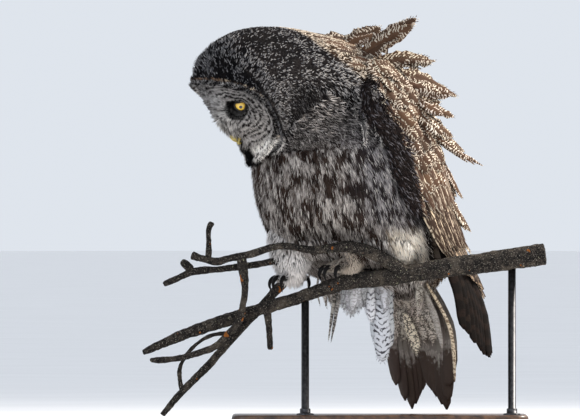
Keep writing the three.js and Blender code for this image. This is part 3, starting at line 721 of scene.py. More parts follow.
def bridge_point(share, turn, above=0.0):
    """Sheet that spans the hollow between the bowed head and the breast."""
    share, turn = np.broadcast_arrays(np.asarray(share, float), np.asarray(turn, float))
    top = body_point(BRIDGE_ROWS[0] - 1.9 * ease(50, 84, np.abs(turn)), turn)
    low = body_point(np.full(turn.shape, BRIDGE_ROWS[1]), turn)
    outward = unit(unit(low - np.array([-10.0, -70.0, 0]) * LEVEL) * LEVEL)
    return times(top, 1 - share) + times(low, share) + times(outward, np.sin(math.pi * share) + above)


def bridge_fill(side):
    """Closed slab under the sheet that spans the hollow."""
    share, turn = np.meshgrid(np.linspace(0, 1, 12), side * np.linspace(*BRIDGE_TURNS, 18))
    outer = bridge_point(share, turn, -9.0)
    axis = np.stack([np.full(turn.shape, -12.0), np.full(turn.shape, -110.0), outer[..., 2]], -1)
    inner = outer + 0.35 * (axis - outer)
    return loft_mesh(np.concatenate([outer, inner[:, ::-1]], 1))


def trunk_loft():
    sides = 96
    turn = np.arange(sides) * 360 / sides
    rings = []
    for at in np.linspace(0.1, LAST_ROW, 60):
        rings.append(trunk_point(np.full(sides, at), turn, -COAT_BODY + 3 * ease(9, 12, at)))
    for share in (0.98, 0.93, 0.86, 0.76, 0.66, 0.56, 0.46, 0.36, 0.26, 0.16, 0.08):
        side, up = face_flat(np.full(sides, FACE_END - share), turn)
        rings.append(face_point(side, up, -COAT_FACE))
    return loft_mesh(rings)


def skin_parts():
    parts = [trunk_loft(), wing_arm(1), wing_arm(-1), bridge_fill(1), bridge_fill(-1)]
    for side, (_, radii) in LEGS.items():
        parts.append(loft_mesh(limb_rings(leg_line(side), [radius - 4 for radius in radii], 16, 24)))
        for spread in TOE_SPREADS:
            parts.append(loft_mesh(limb_rings(toe_line(side, spread), [8, 7, 4.4], 12, 16)))
    root = [tail_point(0, -4, 6), tail_point(0, 26, 6), tail_point(0, 60, 4)]
    parts.append(loft_mesh(limb_rings(root, [24, 20, 10], 10, 24)))
    return parts


SKIN_VOXEL = 3.4


def make_skin(material):
    points, faces, base = [], [], 0
    for part_points, part_faces in skin_parts():
        points.append(part_points)
        faces += [[index + base for index in face] for face in part_faces]
        base += len(part_points)
    mesh = bpy.data.meshes.new("skin")
    mesh.from_pydata(np.concatenate(points).tolist(), [], faces)
    skin = add_object("skin", mesh)
    remesh = skin.modifiers.new("join", "REMESH")
    remesh.mode = "VOXEL"
    remesh.voxel_size = SKIN_VOXEL
    smooth = skin.modifiers.new("smooth", "SMOOTH")
    smooth.iterations = 4
    final = apply_modifiers(skin)
    places = np.empty(len(final.vertices) * 3, np.float32)
    final.vertices.foreach_get("co", places)
    final.vertices.foreach_set("co", places * MM)
    final.update()
    add_colours(final, "tint", skin_tint(places.reshape(-1, 3)))
    final.polygons.foreach_set("use_smooth", np.ones(len(final.polygons), bool))
    final.materials.clear()
    final.materials.append(material)
    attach(skin, "root")
    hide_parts("torso", "neck", "head", "wing_left", "wing_right", "leg_left", "leg_right",
                "foot_left", "foot_right", "tail")


def skin_tint(places):
    """Colours of the nearest place of the coat."""
    rows, turns = np.linspace(0.1, FACE_END - 0.04, 180), np.arange(0, 360, 3.0)
    at, turn = (grid.ravel() for grid in np.meshgrid(rows, turns, indexing="ij"))
    surface = body_point(at, turn)
    tree = kdtree.KDTree(len(surface))
    for index, place in enumerate(surface):
        tree.insert(place, index)
    tree.balance()
    nearest = np.array([tree.find(place)[1] for place in places.astype(float)])
    return body_tint(at, turn)[nearest] * 0.8


def body_strands(strands, at, turn, length, width, depth, rise, loose, tint, tip_tint=None, fan=0.12,
                 curl=0.0):
    """Strands over the body from depth under the coat's surface to rise above it at the tip."""
    count = len(at)
    place, normal, flow = body_axes(at, turn)
    swing = (RNG.random(count) - 0.5) * 2 * fan
    flow = unit(around(swing, flow, np.cross(flow, normal)))
    length = length * drawn(count, 0.75, 0.5)
    width = width * drawn(count, 0.75, 0.5)
    rise = rise + loose * RNG.random(count) ** 2.5
    bow = times(np.cross(flow, normal), curl * RNG.standard_normal(count) * length)
    shade = drawn(count, 0.8, 0.4)[:, None]
    tints = [tint * 0.6, tint * shade, (tint if tip_tint is None else tip_tint) * shade]
    heights = (-depth - 1.0, -0.35 * depth, rise)
    strands.add(place, normal, flow, length, width, heights, tints, unwrap(at, turn), aside=bow)


BREAST_SPANS = [  # name, rows, turns, strands
    ("coat_breast_left", (4.2, 10.4), (0, 112), 18500),
    ("coat_breast_right", (4.2, 10.4), (-112, 0), 12000),
    ("coat_belly_left", (0.15, 4.4), (0, 118), 13500),
    ("coat_belly_right", (0.15, 4.4), (-118, 0), 9000),
]


def make_breast(material):
    for name, at_range, turn_range, count in BREAST_SPANS:
        at, turn = scatter(count, at_range, turn_range)
        tint, dark, black = breast_tint(at, turn)
        tint = mix(tint, crown_tint(at, turn), 0.6 * ease(9.2, 10.6, at))
        chance = RNG.random(count)
        tint = mix(tint, "e6e1da", 0.6 * (chance < 0.12 * (1 - 0.6 * dark)) * (1 - black))
        tint = mix(tint, "1d1817", 0.75 * (chance > 0.85))
        # Inside the painted shade band along the wing (black): a few pale flecks low down, grey ones higher
        # up, and shorter strands.
        tint = mix(tint, "e8e2d8", 0.8 * (chance < 0.16) * black * ease(5.4, 5.0, at))
        tint = mix(tint, "68656a", 0.75 * (chance < 0.17) * black * ease(5.0, 5.4, at))
        strands = Strands()
        body_strands(strands, at, turn, 20.0 - 6 * black, 2.3, 6, -1.0, 5.0, tint, tint * 1.12, 0.14, 0.03)
        strands.piece(name, material, "plumage_grey")


CROWN_SPANS = [  # name, rows, turns, dark strands, pale dashes
    ("coat_nape_left", (9.6, 13.2), (64, 180), 11500, 4600),
    ("coat_nape_right", (9.6, 13.2), (180, 296), 9000, 3600),
    ("coat_throat", (9.4, 14.4), (-78, 78), 6500, 2400),
    ("coat_crown_left", (13.0, 17.1), (60, 180), 14000, 7200),
    ("coat_crown_right", (13.0, 17.1), (180, 300), 11000, 5400),
    ("coat_cheek", (13.4, 17.1), (-66, 64), 6500, 2600),
]


def dark_strands(strands, at, turn):
    swung, hang = np.abs(turned(turn)), hanging(at, turn)
    chance = RNG.random(len(at))
    lighter = 0.6 * ease(0.6, 0.95, chance) * ease(128, 76, swung) * ease(10.6, 12.4, at)
    white = ease(14.6, 15.4, at) * ease(8, 15, swung) * ease(46, 36, swung)
    tint = mix(crown_tint(at, turn), "5a5654", lighter)
    tint = mix(tint, mix("211812", "4c3a2c", chance), in_mantle(at, turn))
    tint = mix(tint, "dcd8d2", 0.9 * white * (chance > 0.3))
    length = np.where(at > 13, 8.5, 12.0) + 8.0 * hang
    rise = -1.6 + 2.4 * hang + 0.9 * ease(15.6, 16.0, at)
    body_strands(strands, at, turn, length, 2.7, 4, rise, 1.6 + 3 * hang, tint, fan=0.3, curl=0.05)


def pale_curls(strands, at, turn):
    """Short curls, kept where they are common and dropped elsewhere; few and dim up the crown's top, partly
    the crown's own darker pattern and partly painted shade.
    """
    across, along = flat_place(at, turn)
    groove = ease(14.8, 15.3, at) * ease(16.7, 16.3, at)
    # The low share up the crown's top is partly its own pattern and partly painted shade; down the neck and
    # cheeks the curls are more common and paler.
    share = 0.13 + 0.34 * ease(13.4, 11.6, at) + 0.16 * ease(120, 80, np.abs(turned(turn)))
    share = share + 0.1 * in_mantle(at, turn) + 0.06 * ease(15.4, 16.0, at) + 0.18 * groove
    share = share + 0.15 * ease(10.6, 11.6, at) * ease(13.6, 12.6, at)
    share = share * (0.45 + 1.1 * ease(0.35, 0.65, soft_noise(across / 11, along / 9, 16)))
    kept = RNG.random(len(at)) < share
    at, turn, groove = at[kept], turn[kept], groove[kept]
    chance = RNG.random(len(at))
    neck, hang, brown = ease(13.6, 11.6, at), hanging(at, turn), in_mantle(at, turn)
    cheek = ease(128, 76, np.abs(turned(turn))) * neck
    crease = ease(15.6, 16.0, at)
    paler = np.clip((0.85 - 0.2 * crease) * chance + 0.3 * cheek, 0, 1)
    tint = mix("404044", "a3a09e", paler)
    tint = mix(tint, mix("6e6052", "d3c7b7", chance), brown)
    length = 5.0 + 2.6 * neck + 3.4 * cheek + 1.6 * brown
    width = 2.0 + 0.4 * neck + 0.3 * brown
    rise = 0.2 + 2.6 * hang + 1.8 * crease + 2.0 * groove
    body_strands(strands, at, turn, length, width, 1.5, rise, 0.9 + 1.5 * hang, tint, fan=0.85, curl=0.16)


def make_crown(material):
    """Near-black strands, with short pale curls over them that are larger down the cheeks and neck."""
    for name, at_range, turn_range, dark_count, pale_count in CROWN_SPANS:
        strands = Strands()
        dark_strands(strands, *scatter(dark_count, at_range, turn_range))
        pale_curls(strands, *scatter(pale_count, at_range, turn_range))
        strands.piece(name, material, "plumage_dark")


def make_bridge(material):
    """Long soft feathers that hang from the cheek over the hollow and blend into the breast."""
    count = 13000
    turn = drawn(count, BRIDGE_TURNS[0], BRIDGE_TURNS[1] - BRIDGE_TURNS[0])
    turn = turn * np.where(RNG.random(count) < 0.62, 1, -1)
    share = RNG.random(count)
    place = bridge_point(share, turn)
    flow = unit(bridge_point(share + 0.02, turn) - place)
    aside = unit(bridge_point(share, turn + 0.5) - bridge_point(share, turn - 0.5))
    normal = np.cross(aside, flow)
    from_inside = place - np.array([-10.0, -70.0, 430.0])
    normal = unit(normal * np.sign(np.sum(normal * from_inside, -1, keepdims=True)))
    at = BRIDGE_ROWS[0] + (BRIDGE_ROWS[1] - BRIDGE_ROWS[0]) * share
    chance = RNG.random(count)
    across, along = flat_place(at, turn)
    patch = 0.45 + 0.9 * ease(0.38, 0.62, soft_noise(across / 10, along / 11, 17))
    soft = mix(crown_tint(at, turn), "9a9592", ease(0.4, 1.0, chance) * patch)
    tint = mix(soft, breast_tint(at, turn)[0], ease(0.3, 0.85, share + 0.25 * (chance - 0.5)))
    tint = mix(tint, "c2bebc", 0.6 * (RNG.random(count) < 0.07))
    long = drawn(count, 12, 8) * (1 - 0.35 * ease(0.8, 1.0, share))
    swing = unit(flow + times(aside, 0.5 * RNG.standard_normal(count)))
    rise = 0.5 + 2.5 * RNG.random(count) ** 2
    shaded = tint * drawn(count, 0.8, 0.4)[:, None]
    width = 2.4 * drawn(count, 0.75, 0.5)
    strands = Strands()
    strands.add(place, normal, swing, long, width, (-6, -1.5, rise), [tint * 0.6, shaded, shaded],
                unwrap(at, turn))
    strands.piece("coat_neck_side", material, "plumage_grey")


def make_back_down(material):
    at, turn = scatter(4500, (0.2, 10.0), (104, 256))
    strands = Strands()
    body_strands(strands, at, turn, 26.0, 4.4, 7, -2.0, 3.0, mantle_tint(at, turn))
    strands.piece("coat_back", material, "plumage_brown")


def make_shoulder_shade(material):
    """Near-black fuzz over each wing's front edge, thinning out down the wing: painted shade where the wing's
    front edge meets the breast, with a few grey flecks.
    """
    for name, side, count in (("left", 1, 4500), ("right", -1, 3000)):
        up = 330 + 205 * RNG.random(count) ** 0.75
        limit = np.interp(up, *WING_FRONT) + 0.03
        share = limit - 0.16 * RNG.random(count) + 0.02 * RNG.standard_normal(count)
        above = drawn(count, 4.0, 5.0)
        place = on_wing(side, share, up, above)
        normal = unit(on_wing(side, share, up, above + 3) - place)
        down = unit(on_wing(side, share, up - 4, above) - place)
        long = drawn(count, 10, 7)
        flow = unit(down + times(np.cross(down, normal), 0.35 * RNG.standard_normal(count)))
        chance = RNG.random(count)
        # Painted shade: near-black tints, with a few grey flecks.
        tint = mix("100f10", "2c2422", RNG.random(count))
        tint = mix(tint, "6c696d", 0.8 * (chance < 0.16))
        strands = Strands()
        uv = np.stack([0.02 + 0.3 * (0.5 + 0.5 * share), 0.02 + 0.9 * (up - 300) / 260], -1)
        strands.add(place, normal, flow, long, 2.4, (-8, -2, 1.0), [tint * 0.6, tint, tint], uv)
        strands.piece(f"coat_shoulder_{name}", material, "plumage_dark")


def face_axes(side, up):
    """Point, normal and the way bristles lie on the disc, away from the eyes."""
    step = 0.8
    across = unit(face_point(side + step, up) - face_point(side - step, up))
    high = unit(face_point(side, up + step) - face_point(side, up - step))
    sign = np.where(side < 0, -1.0, 1.0)
    eye_side, eye_up = side - sign * EYE_APART, up - EYE_UP
    inner = ease(EYE_APART, EYE_APART - 14, np.abs(side))
    to_side = eye_side * (1 - inner) + sign * -6 * inner
    to_up = eye_up * (1 - inner) + eye_up * 1.4 * inner
    flow = unit(times(across, to_side) + times(high, to_up))
    return face_point(side, up), unit(np.cross(across, high)), flow


def make_face(material):
    for name, sign, count in (("coat_face_left", 1.0, 17500), ("coat_face_right", -1.0, 11500)):
        reach = np.sqrt(RNG.random(count)) * 1.01
        angle = RNG.random(count) * math.pi
        side = sign * np.sin(angle) * DISC_WIDE * reach
        up = -np.cos(angle) * DISC_HIGH * reach
        eye_gap = np.hypot(np.abs(side) - EYE_APART, up - EYE_UP)
        kept = (eye_gap > 10.5) & (np.hypot(side / 10, (up + 27) / 17) > 1)
        side, up, eye_gap = side[kept], up[kept], eye_gap[kept]
        count = len(side)
        place, normal, flow = face_axes(side, up)
        flow = unit(flow + times(np.cross(flow, normal), (RNG.random(count) - 0.5) * 0.3))
        inner = ease(24, 6, np.abs(side)) * ease(78, 50, up)
        length = drawn(count, 4.0, 3.0) * (1 + 1.2 * inner) * (0.7 + 0.3 * ease(10, 26, eye_gap))
        rise = 0.4 + 1.6 * RNG.random(count) ** 2 + 5.5 * inner * RNG.random(count) ** 1.5
        tint = face_tint(side, up)
        pale = RNG.random(count) < 0.10 * ease(0.012, 0.05, tint.mean(-1))
        tip = mix(tint, "dedbd6", 0.6 * pale)
        shade = drawn(count, 0.65, 0.7)[:, None]
        turn = np.degrees(np.arctan2(side / DISC_WIDE, -up / DISC_HIGH))
        at = FACE_END - np.hypot(side / DISC_WIDE, up / DISC_HIGH) * 0.97
        strands = Strands()
        strands.add(place, normal, flow, length, 1.6, (-3.4, -0.4, rise),
                    [tint * 0.6, tint * shade, tip * shade], unwrap(at, turn), bend=0.5)
        strands.piece(name, material, "plumage_dark")


# Feathers: closed curved vanes with loose barbs along their edges

LONG_OUTLINE = [[0, 0.3], [0.08, 0.62], [0.25, 0.92], [0.6, 1.0], [0.86, 0.97], [0.94, 0.86], [0.98, 0.66],
                [1, 0.34]]
ROUND_OUTLINE = [[0, 0.25], [0.15, 0.66], [0.42, 1.0], [0.66, 0.95], [0.82, 0.72], [0.93, 0.42], [1, 0.08]]
TAIL_OUTLINE = [[0, 0.3], [0.1, 0.7], [0.4, 1.0], [0.72, 1.0], [0.86, 0.84], [0.94, 0.58], [0.98, 0.3],
                [1, 0.1]]
POINTED_OUTLINE = [[0, 0.25], [0.15, 0.7], [0.38, 1.0], [0.6, 0.82], [0.8, 0.5], [0.93, 0.24], [1, 0.04]]
RUFFLE_OUTLINE = [[0, 0.3], [0.15, 0.7], [0.4, 1.0], [0.66, 0.95], [0.82, 0.66], [0.92, 0.4], [1, 0.12]]
VANE_COLUMNS = np.array([-1.0, -0.62, -0.12, 0.12, 0.62, 1.0])
VANE_THICK = 0.7
FEATHER_SHARES = np.array([0, 0.35, 0.7, 1.0])  # of its length, where a feather's line is placed


def vane_faces(stations, columns):
    """Triangles of a closed vane: an upper and a lower grid joined round the edge."""
    grid = np.arange(stations * columns).reshape(stations, columns)
    a, b, c, d = grid[:-1, :-1], grid[:-1, 1:], grid[1:, 1:], grid[1:, :-1]
    loop = np.concatenate([grid[0, :-1], grid[:-1, -1], grid[-1, :0:-1], grid[:0:-1, 0]])
    low = loop + stations * columns
    quads = np.concatenate([np.stack([a, b, c, d], -1).reshape(-1, 4),
                            np.stack([a, d, c, b], -1).reshape(-1, 4) + stations * columns,
                            np.stack([np.roll(loop, -1), loop, low, np.roll(low, -1)], -1)])
    return np.concatenate([quads[:, [0, 1, 2]], quads[:, [0, 2, 3]]])


class Feathers:
    """Gathers vanes and their loose barbs into one piece."""

    def __init__(self):
        self.parts = []
        self.base, self.count = 0, 0

    def add(self, places, facing, half, tint, mark, outline=ROUND_OUTLINE, tilt=0.0, camber=0.22, stations=11,
            barbs=12, ragged=0.06, barb_reach=0.34):
        t = np.linspace(0, 1, stations)
        line = spline(places, t * (len(places) - 1))
        length = np.linalg.norm(np.diff(line, axis=0), axis=1).sum()
        ahead = unit(np.gradient(line, axis=0))
        side = unit(np.cross(ahead, unit(facing)))
        front = np.cross(side, ahead)
        wide = half * lookup(outline, t)
        edge = np.abs(VANE_COLUMNS) > 0.9
        column = VANE_COLUMNS * (1 + ragged * RNG.standard_normal((stations, 1)) * edge)
        offset = column * wide[:, None]
        lift = -camber * wide[:, None] * VANE_COLUMNS**2 + tilt * offset / half
        ripple = 0.35 * RNG.standard_normal((stations, 6)) * (np.abs(VANE_COLUMNS) > 0.5)
        upper = line[:, None] + times(side[:, None], offset) + times(front[:, None], lift + ripple)
        upper[:, [2, 3]] += front[:, None] * 0.35
        points = np.stack([upper, upper - front[:, None] * VANE_THICK])
        down = np.broadcast_to(t[:, None], offset.shape)
        flat = np.stack([column * 0.42 + 0.5, down], -1)
        lie = np.stack([offset, (1 - down) * length], -1) * MM
        look = tint, mark, RNG.random()
        self._gather(points, vane_faces(stations, 6), np.stack([flat, flat]), np.stack([lie, lie]), look)
        if barbs:
            share = np.linspace(0.3, 0.99, barbs)
            axes = [spline(part, share * (stations - 1)) for part in (line, side, front, ahead)]
            rim, reach = np.interp(share, t, wide), barb_reach * half
            for sign in (-1, 1):
                self._add_barbs(*axes, share, rim, sign, length, reach, look, camber)
        self.count += 1

    def _add_barbs(self, place, side, front, ahead, share, half, sign, length, reach, look, camber):
        root = place + times(side, sign * 0.8 * half) - times(front, camber * 0.64 * half)
        long = reach * drawn(len(share), 0.6, 0.9)
        away = unit(times(side * sign, 0.8 * (1 - 0.55 * share)) + ahead * 0.8)
        tip = root + times(away, long) + times(front, RNG.standard_normal(len(share)) * 0.8)
        middle = (root + tip) / 2 + front * 0.3
        across = unit(np.cross(away, front)) * 0.15 * reach
        blades = np.stack([root, middle + front * 0.3, middle + across, middle - across, tip], 1)
        edge = 0.5 + sign * np.array([0.33, 0.37, 0.37, 0.37, 0.42])
        flat = np.broadcast_arrays(edge, share[:, None])
        aside = sign * half[:, None] * (0.84 + 0.1 * edge)
        lie = np.broadcast_arrays(aside, ((1 - share) * length)[:, None])
        self._gather(blades, blade_faces(len(share)), np.stack(flat, -1), np.stack(lie, -1) * MM, look)

    def _gather(self, points, faces, flat, lie, look):
        points = points.reshape(-1, 3)
        flat, lie = (places.reshape(-1, 2)[faces.ravel()] for places in (flat, lie))
        tint, mark = (np.broadcast_to(colour, points.shape) for colour in look[:2])
        cell, seed = np.full(faces.size, self.count), np.full(len(points), look[2])
        self.parts.append((points, faces + self.base, flat, lie, cell, tint, mark, seed))
        self.base += len(points)

    def piece(self, name, material, slot):
        points, faces, flat, lie, cell, tint, mark, seed = (np.concatenate(part) for part in zip(*self.parts))
        columns = math.ceil(math.sqrt(self.count * 3.0))
        rows = math.ceil(self.count / columns)
        corner = np.stack([(cell % columns) / columns, (cell // columns) / rows], -1)
        bake = corner + (0.06 + 0.88 * flat) / np.array([columns, rows])
        maps = {"OFBake": bake, "vane": flat, "lie": lie}
        piece = coat_object(name, points, faces, material, tint, maps)
        add_colours(piece.data, "mark", mark)
        seeds = piece.data.attributes.new(name="seed", type="FLOAT", domain="POINT")
        seeds.data.foreach_set("value", seed.astype(np.float32))


class Vane(Finish):
    """Feather material, with the markings that mix the colours tint and mark."""

    def __init__(self, kind):
        super().__init__(f"{kind}_vanes")
        self.seed = self.add("ShaderNodeAttribute", "Fac", {}, attribute_name="seed")
        self.from_shaft = self.sum("ABSOLUTE", self.sum("SUBTRACT", self.flat_parts("vane")[0], 0.5))
        self.aside, self.from_tip = self.flat_parts("lie")

    def mottle(self, scale, detail=2.0, stretch=1.0):
        down, layer = self.sum("MULTIPLY", self.from_tip, stretch), self.sum("MULTIPLY", self.seed, 3.0)
        spot = self.add("ShaderNodeCombineXYZ", 0, {0: self.aside, 1: down, 2: layer})
        return self.cloud(spot, scale, detail)

    def sway(self, reach, scale=160, detail=2.0, stretch=1.0):
        return self.sum("MULTIPLY", self.sum("SUBTRACT", self.mottle(scale, detail, stretch), 0.5), reach)

    def bars(self, place, period, low, high):
        """Bars across the vane, one for each period along it."""
        return self.slide(self.sum("SINE", self.sum("MULTIPLY", place, 2 * math.pi / period)), low, high)

    def swayed(self, reach, scale=160, slant=0.0):
        """Distance from the tip, with a wander and a slant from the shaft."""
        slanted = self.sum("MULTIPLY_ADD", self.sum("ABSOLUTE", self.aside), slant, self.from_tip)
        return self.sum("ADD", slanted, self.sway(reach, scale))

    def barred(self):
        fleck = self.sum("MULTIPLY_ADD", self.slide(self.mottle(520), 0.42, 0.6), 0.55, 0.45)
        return self.sum("MULTIPLY", self.bars(self.swayed(0.016), 0.027, 0.1, 0.7), fleck)

    def wavy(self):
        tip_zone = self.sum("MULTIPLY", self.slide(self.from_tip, 0.006, 0.002), 0.8)
        blotch = self.sum("ADD", self.sway(0.7, 70, 1.0), self.from_shaft)
        edge = self.sum("ADD", self.slide(blotch, 0.12, 0.18), tip_zone, clamp=True)
        bars = self.bars(self.swayed(0.016, 110, 0.3), 0.0050, 0.1, 0.6)
        breaks = self.slide(self.mottle(150, 1.0), 0.28, 0.40)
        return self.sum("MULTIPLY", self.sum("MULTIPLY", bars, edge), breaks)

    def edged(self):
        rim = self.slide(self.sum("ADD", self.sway(0.3, 300, 2.0, 0.3), self.from_shaft), 0.31, 0.38)
        streak = self.sum("MULTIPLY", self.slide(self.mottle(700, 1.0, 0.12), 0.55, 0.66), 0.5)
        breaks = self.slide(self.mottle(230, 1.0), 0.3, 0.5)
        return self.sum("MAXIMUM", self.sum("MULTIPLY", rim, breaks), streak)

    def maze(self):
        ridge = self.sum("ABSOLUTE", self.sum("SUBTRACT", self.mottle(125, 1.0, 1.8), 0.5))
        return self.sum("MULTIPLY", self.slide(ridge, 0.085, 0.03), 0.9)

    def chevron(self):
        bars = self.bars(self.swayed(0.012, slant=-0.7), 0.0080, 0.2, 0.8)
        return self.sum("MULTIPLY", bars, self.slide(self.mottle(200), 0.36, 0.54))

    def tail(self):
        panel = self.bars(self.swayed(0.02), 0.034, -0.2, 0.5)
        speck = self.slide(self.mottle(620, 2.0, 0.1), 0.60, 0.42)
        grey = self.sum("MULTIPLY_ADD", self.sum("MULTIPLY", panel, speck), 0.45, 0.5)
        return self.sum("MULTIPLY", grey, self.slide(self.swayed(0.05), 0.062, 0.080))


def vane_material(kind, marking):
    vane = Vane(kind)
    colour = vane.blend(marking(vane), vane.tint("tint"), vane.tint("mark"))
    shade = vane.sum("MULTIPLY_ADD", vane.mottle(900), 0.4, 0.8)
    slant = vane.sum("SUBTRACT", vane.sum("ABSOLUTE", vane.aside), vane.from_tip)
    barbs = vane.sum("SINE", vane.sum("MULTIPLY", slant, 3600))
    return vane.done(vane.scaled(colour, shade), 0.68, Normal=vane.bump(barbs, 0.35, 0.0006),
                     Specular_IOR_Level=0.03 if kind == "barred" else 0.12)


BROWN, COCOA = paint("573f2e"), paint("2c2019")
WASHED, BUFF, STRAW = paint("b5a794"), paint("c3b5a1"), paint("e6dac8")


def vary(colour, amount=0.16):
    lighter = 1 + amount * (RNG.random() * 2 - 1)
    return as_colour(colour) * lighter * (1 + 0.012 * RNG.standard_normal(3))


def wing_feather(feathers, side, root, tip, above, half, tint, mark, **shape):
    share, up = (a + (b - a) * FEATHER_SHARES for a, b in zip(root, tip))
    place = on_wing(side, share, up, np.interp(FEATHER_SHARES, [0, 0.5, 1], above))
    share, up = (0.4 * a + 0.6 * b for a, b in zip(root, tip))
    facing = on_wing(side, share, up, 10.0) - on_wing(side, share, up, 0.0)
    feathers.add(place, facing, half, vary(tint), vary(mark), tilt=-2.0 * side, **shape)


def tier(feathers, side, count, roots, tips, above, half, tint, mark, stray=1.0, **shape):
    """A row of feathers from the wing's front edge to its back one."""
    for share in np.arange(count) / (count - 1):
        shift = 0.012 * stray * RNG.standard_normal(2)
        root, tip = (mix(*np.array(ends, float), share) for ends in (roots, tips))
        wing_feather(feathers, side, root, tip + shift * [1, 220], above, half, tint, mark, **shape)


SCAPULARS = [  # share, height at the root and at the tip, stand-off, half width
    [0.72, 528, 512, 58, 13],
    [0.86, 516, 500, 40, 12],
    [0.62, 508, 478, 46, 13],
    [0.52, 486, 446, 34, 14],
    [0.76, 480, 424, 46, 12],
    [0.66, 452, 402, 66, 5],
    [0.7, 424, 352, 27, 13],
    [0.62, 372, 300, 26, 13],
    [0.78, 340, 266, 18, 13],
]
COVERT_STEP = 14.0  # height between two rows of small coverts
# In front of WING_FRONT lies the painted shade of the shoulder fuzz; behind it the brown coverts begin.
WING_FRONT = [330, 364, 400, 450, 505, 545], [-0.08, -0.07, -0.01, 0.06, 0.07, 0.0]  # where brown begins


def make_quills(name, side, barred, edged):
    """Long wing feathers, then the three rows of folded ones over them."""
    long = {"outline": LONG_OUTLINE, "stations": 14, "barbs": 0, "ragged": 0.02}
    # Quills in near-black tint and mark: their own dark brown, deepened by painted shade where the folded
    # wing tip is seen from below, so their bars hardly show.
    dark = paint("14100e"), paint("211915")
    flight, folded = Feathers(), Feathers()
    if side > 0:
        tier(flight, side, 7, [[0.16, 335], [0.42, 335]], [[-0.03, 144], [0.45, 106]], [-9, -3, -1], 12.5,
             *dark, **long)
    tier(flight, side, 6, [[0.44, 335], [0.64, 335]], [[0.5, 105], [0.86, 122]], [-8, 0, 2], 12.5,
         *dark, **long)
    flight.piece(f"flight_feathers_{name}", barred, "plumage_brown")
    tier(folded, side, 13, [[0.1, 405], [0.92, 392]], [[0.1, 244], [1.0, 180]], [-8, 0, 6], 11,
         paint("251b16"), paint("a8927a"), **long)
    tier(folded, side, 13, [[0.04, 450], [0.92, 445]], [[-0.02, 258], [0.98, 300]], [-7, 2, 8.5], 10,
         paint("36261c"), paint("c2b099"), stations=12, barbs=8)
    tier(folded, side, 12, [[0.0, 470], [0.93, 470]], [[-0.07, 322], [0.97, 352]], [-7, 1, 9.5], 10.5,
         paint("483428"), BUFF, stray=1.6, barbs=10)
    folded.piece(f"folded_feathers_{name}", edged, "plumage_brown")


def make_coverts(name, side, wavy):
    coverts = Feathers()
    for index, tip_up in enumerate(np.arange(366, 545, COVERT_STEP)):
        front = np.interp(tip_up, *WING_FRONT)
        root_up = min(tip_up + 42, 566)
        offset = 0.06 * (index % 2)
        lift = 5.5 + 2.5 * RNG.random()
        tint, mark = mix(BROWN, COCOA, 0.6 * RNG.random()), mix(WASHED, STRAW, RNG.random())
        tier(coverts, side, 8, [[front + 0.03, root_up], [0.88, root_up]],
             [[front + offset, tip_up - 4], [0.92 + offset, tip_up + 5]], [-7, 0, lift], 12.5, tint, mark,
             stray=2.4, stations=12, barbs=10, ragged=0.1)
    for share, root_up, tip_up, off, half in SCAPULARS:
        outline = POINTED_OUTLINE if half < 10 else RUFFLE_OUTLINE
        for shift, reach, width in ((0, 1.0, 0.8), (-0.07, 0.8, 0.7), (0.06, 0.86, 0.7), (0.0, 0.66, 0.9)):
            root = share + shift, root_up + 6 * (shift != 0)
            tip = share + 0.03 + shift * 1.6, tip_up + 16 * (1 - reach)
            wing_feather(coverts, side, root, tip, [-6, off * reach * 0.42, off * reach - 2], half * width,
                         mix(BROWN, COCOA, 0.5 * RNG.random()), STRAW, outline=outline, stations=13,
                         ragged=0.18, barb_reach=0.3)
    coverts.piece(f"wing_coverts_{name}", wavy, "plumage_brown")


def trunk_feather(feathers, root, tip, stand, half, tint, mark):
    at, turn = (a + (b - a) * FEATHER_SHARES for a, b in zip(root, tip))
    above = np.interp(FEATHER_SHARES, [0, 0.5, 1], [-8, stand * 0.42, stand])
    _, normal, _ = body_axes(np.clip(at, 0.1, LAST_ROW), turn)
    place = body_point(at, turn) + times(normal, above)
    feathers.add(place, normal[1] + normal[2], half, vary(tint), vary(mark), barbs=9, ragged=0.1)


NECK_RUFFLES = [  # row at the root, turn, row at the tip, stand-off, half width
    [11.3, 166, 10.9, 46, 12],
    [10.95, 147, 10.8, 94, 13],
    [10.6, 143, 9.9, 62, 12],
    [10.1, 147, 9.0, 62, 15],
    [11.1, 198, 10.0, 30, 14],
    [10.7, 216, 9.6, 44, 16],
    [10.2, 204, 8.8, 30, 17],
    [10.4, 176, 9.0, 22, 17],
    [11.9, 180, 10.9, 12, 14],
]
BACK_RUFFLES = [
    [9.1, 168, 7.6, 20, 16],
    [8.9, 187, 7.4, 17, 16],
    [8.0, 177, 6.4, 15, 18],
    [7.0, 173, 5.4, 14, 12],
    [6.8, 184, 5.2, 13, 14],
    [5.7, 175, 4.2, 12, 15],
]


def solid_ruffle(feathers, from_at, turn, to_at, stand, half):
    """A raised tattered tuft: narrow feathers fanned round the three places that the solids use."""
    middle = (from_at + to_at) / 2
    facing = unit(trunk_point(middle, turn, 10) - trunk_point(middle, turn))
    for swing, reach, width in ((0, 1.0, 1.1), (-3.4, 0.9, 1.0), (3.4, 0.84, 1.0), (1.5, 0.7, 1.1),
                                (-2, 0.62, 1.0)):
        swing = swing + 1.2 * RNG.standard_normal()
        rise = stand * reach
        place = [trunk_point(at, turn + share * swing, above) for at, share, above
                 in ((from_at, 0, -12), (middle, 0.5, rise * 0.42), (to_at, 1.6, rise - 2))]
        tilted = facing + 0.9 * OUT * RNG.random()
        tint = vary(mix(BROWN, COCOA, 0.6 * RNG.random()))
        feathers.add(place, tilted, half * width, tint, vary(mix(WASHED, STRAW, 0.4)), stations=14, barbs=14,
                     outline=RUFFLE_OUTLINE, ragged=0.2, barb_reach=0.3)


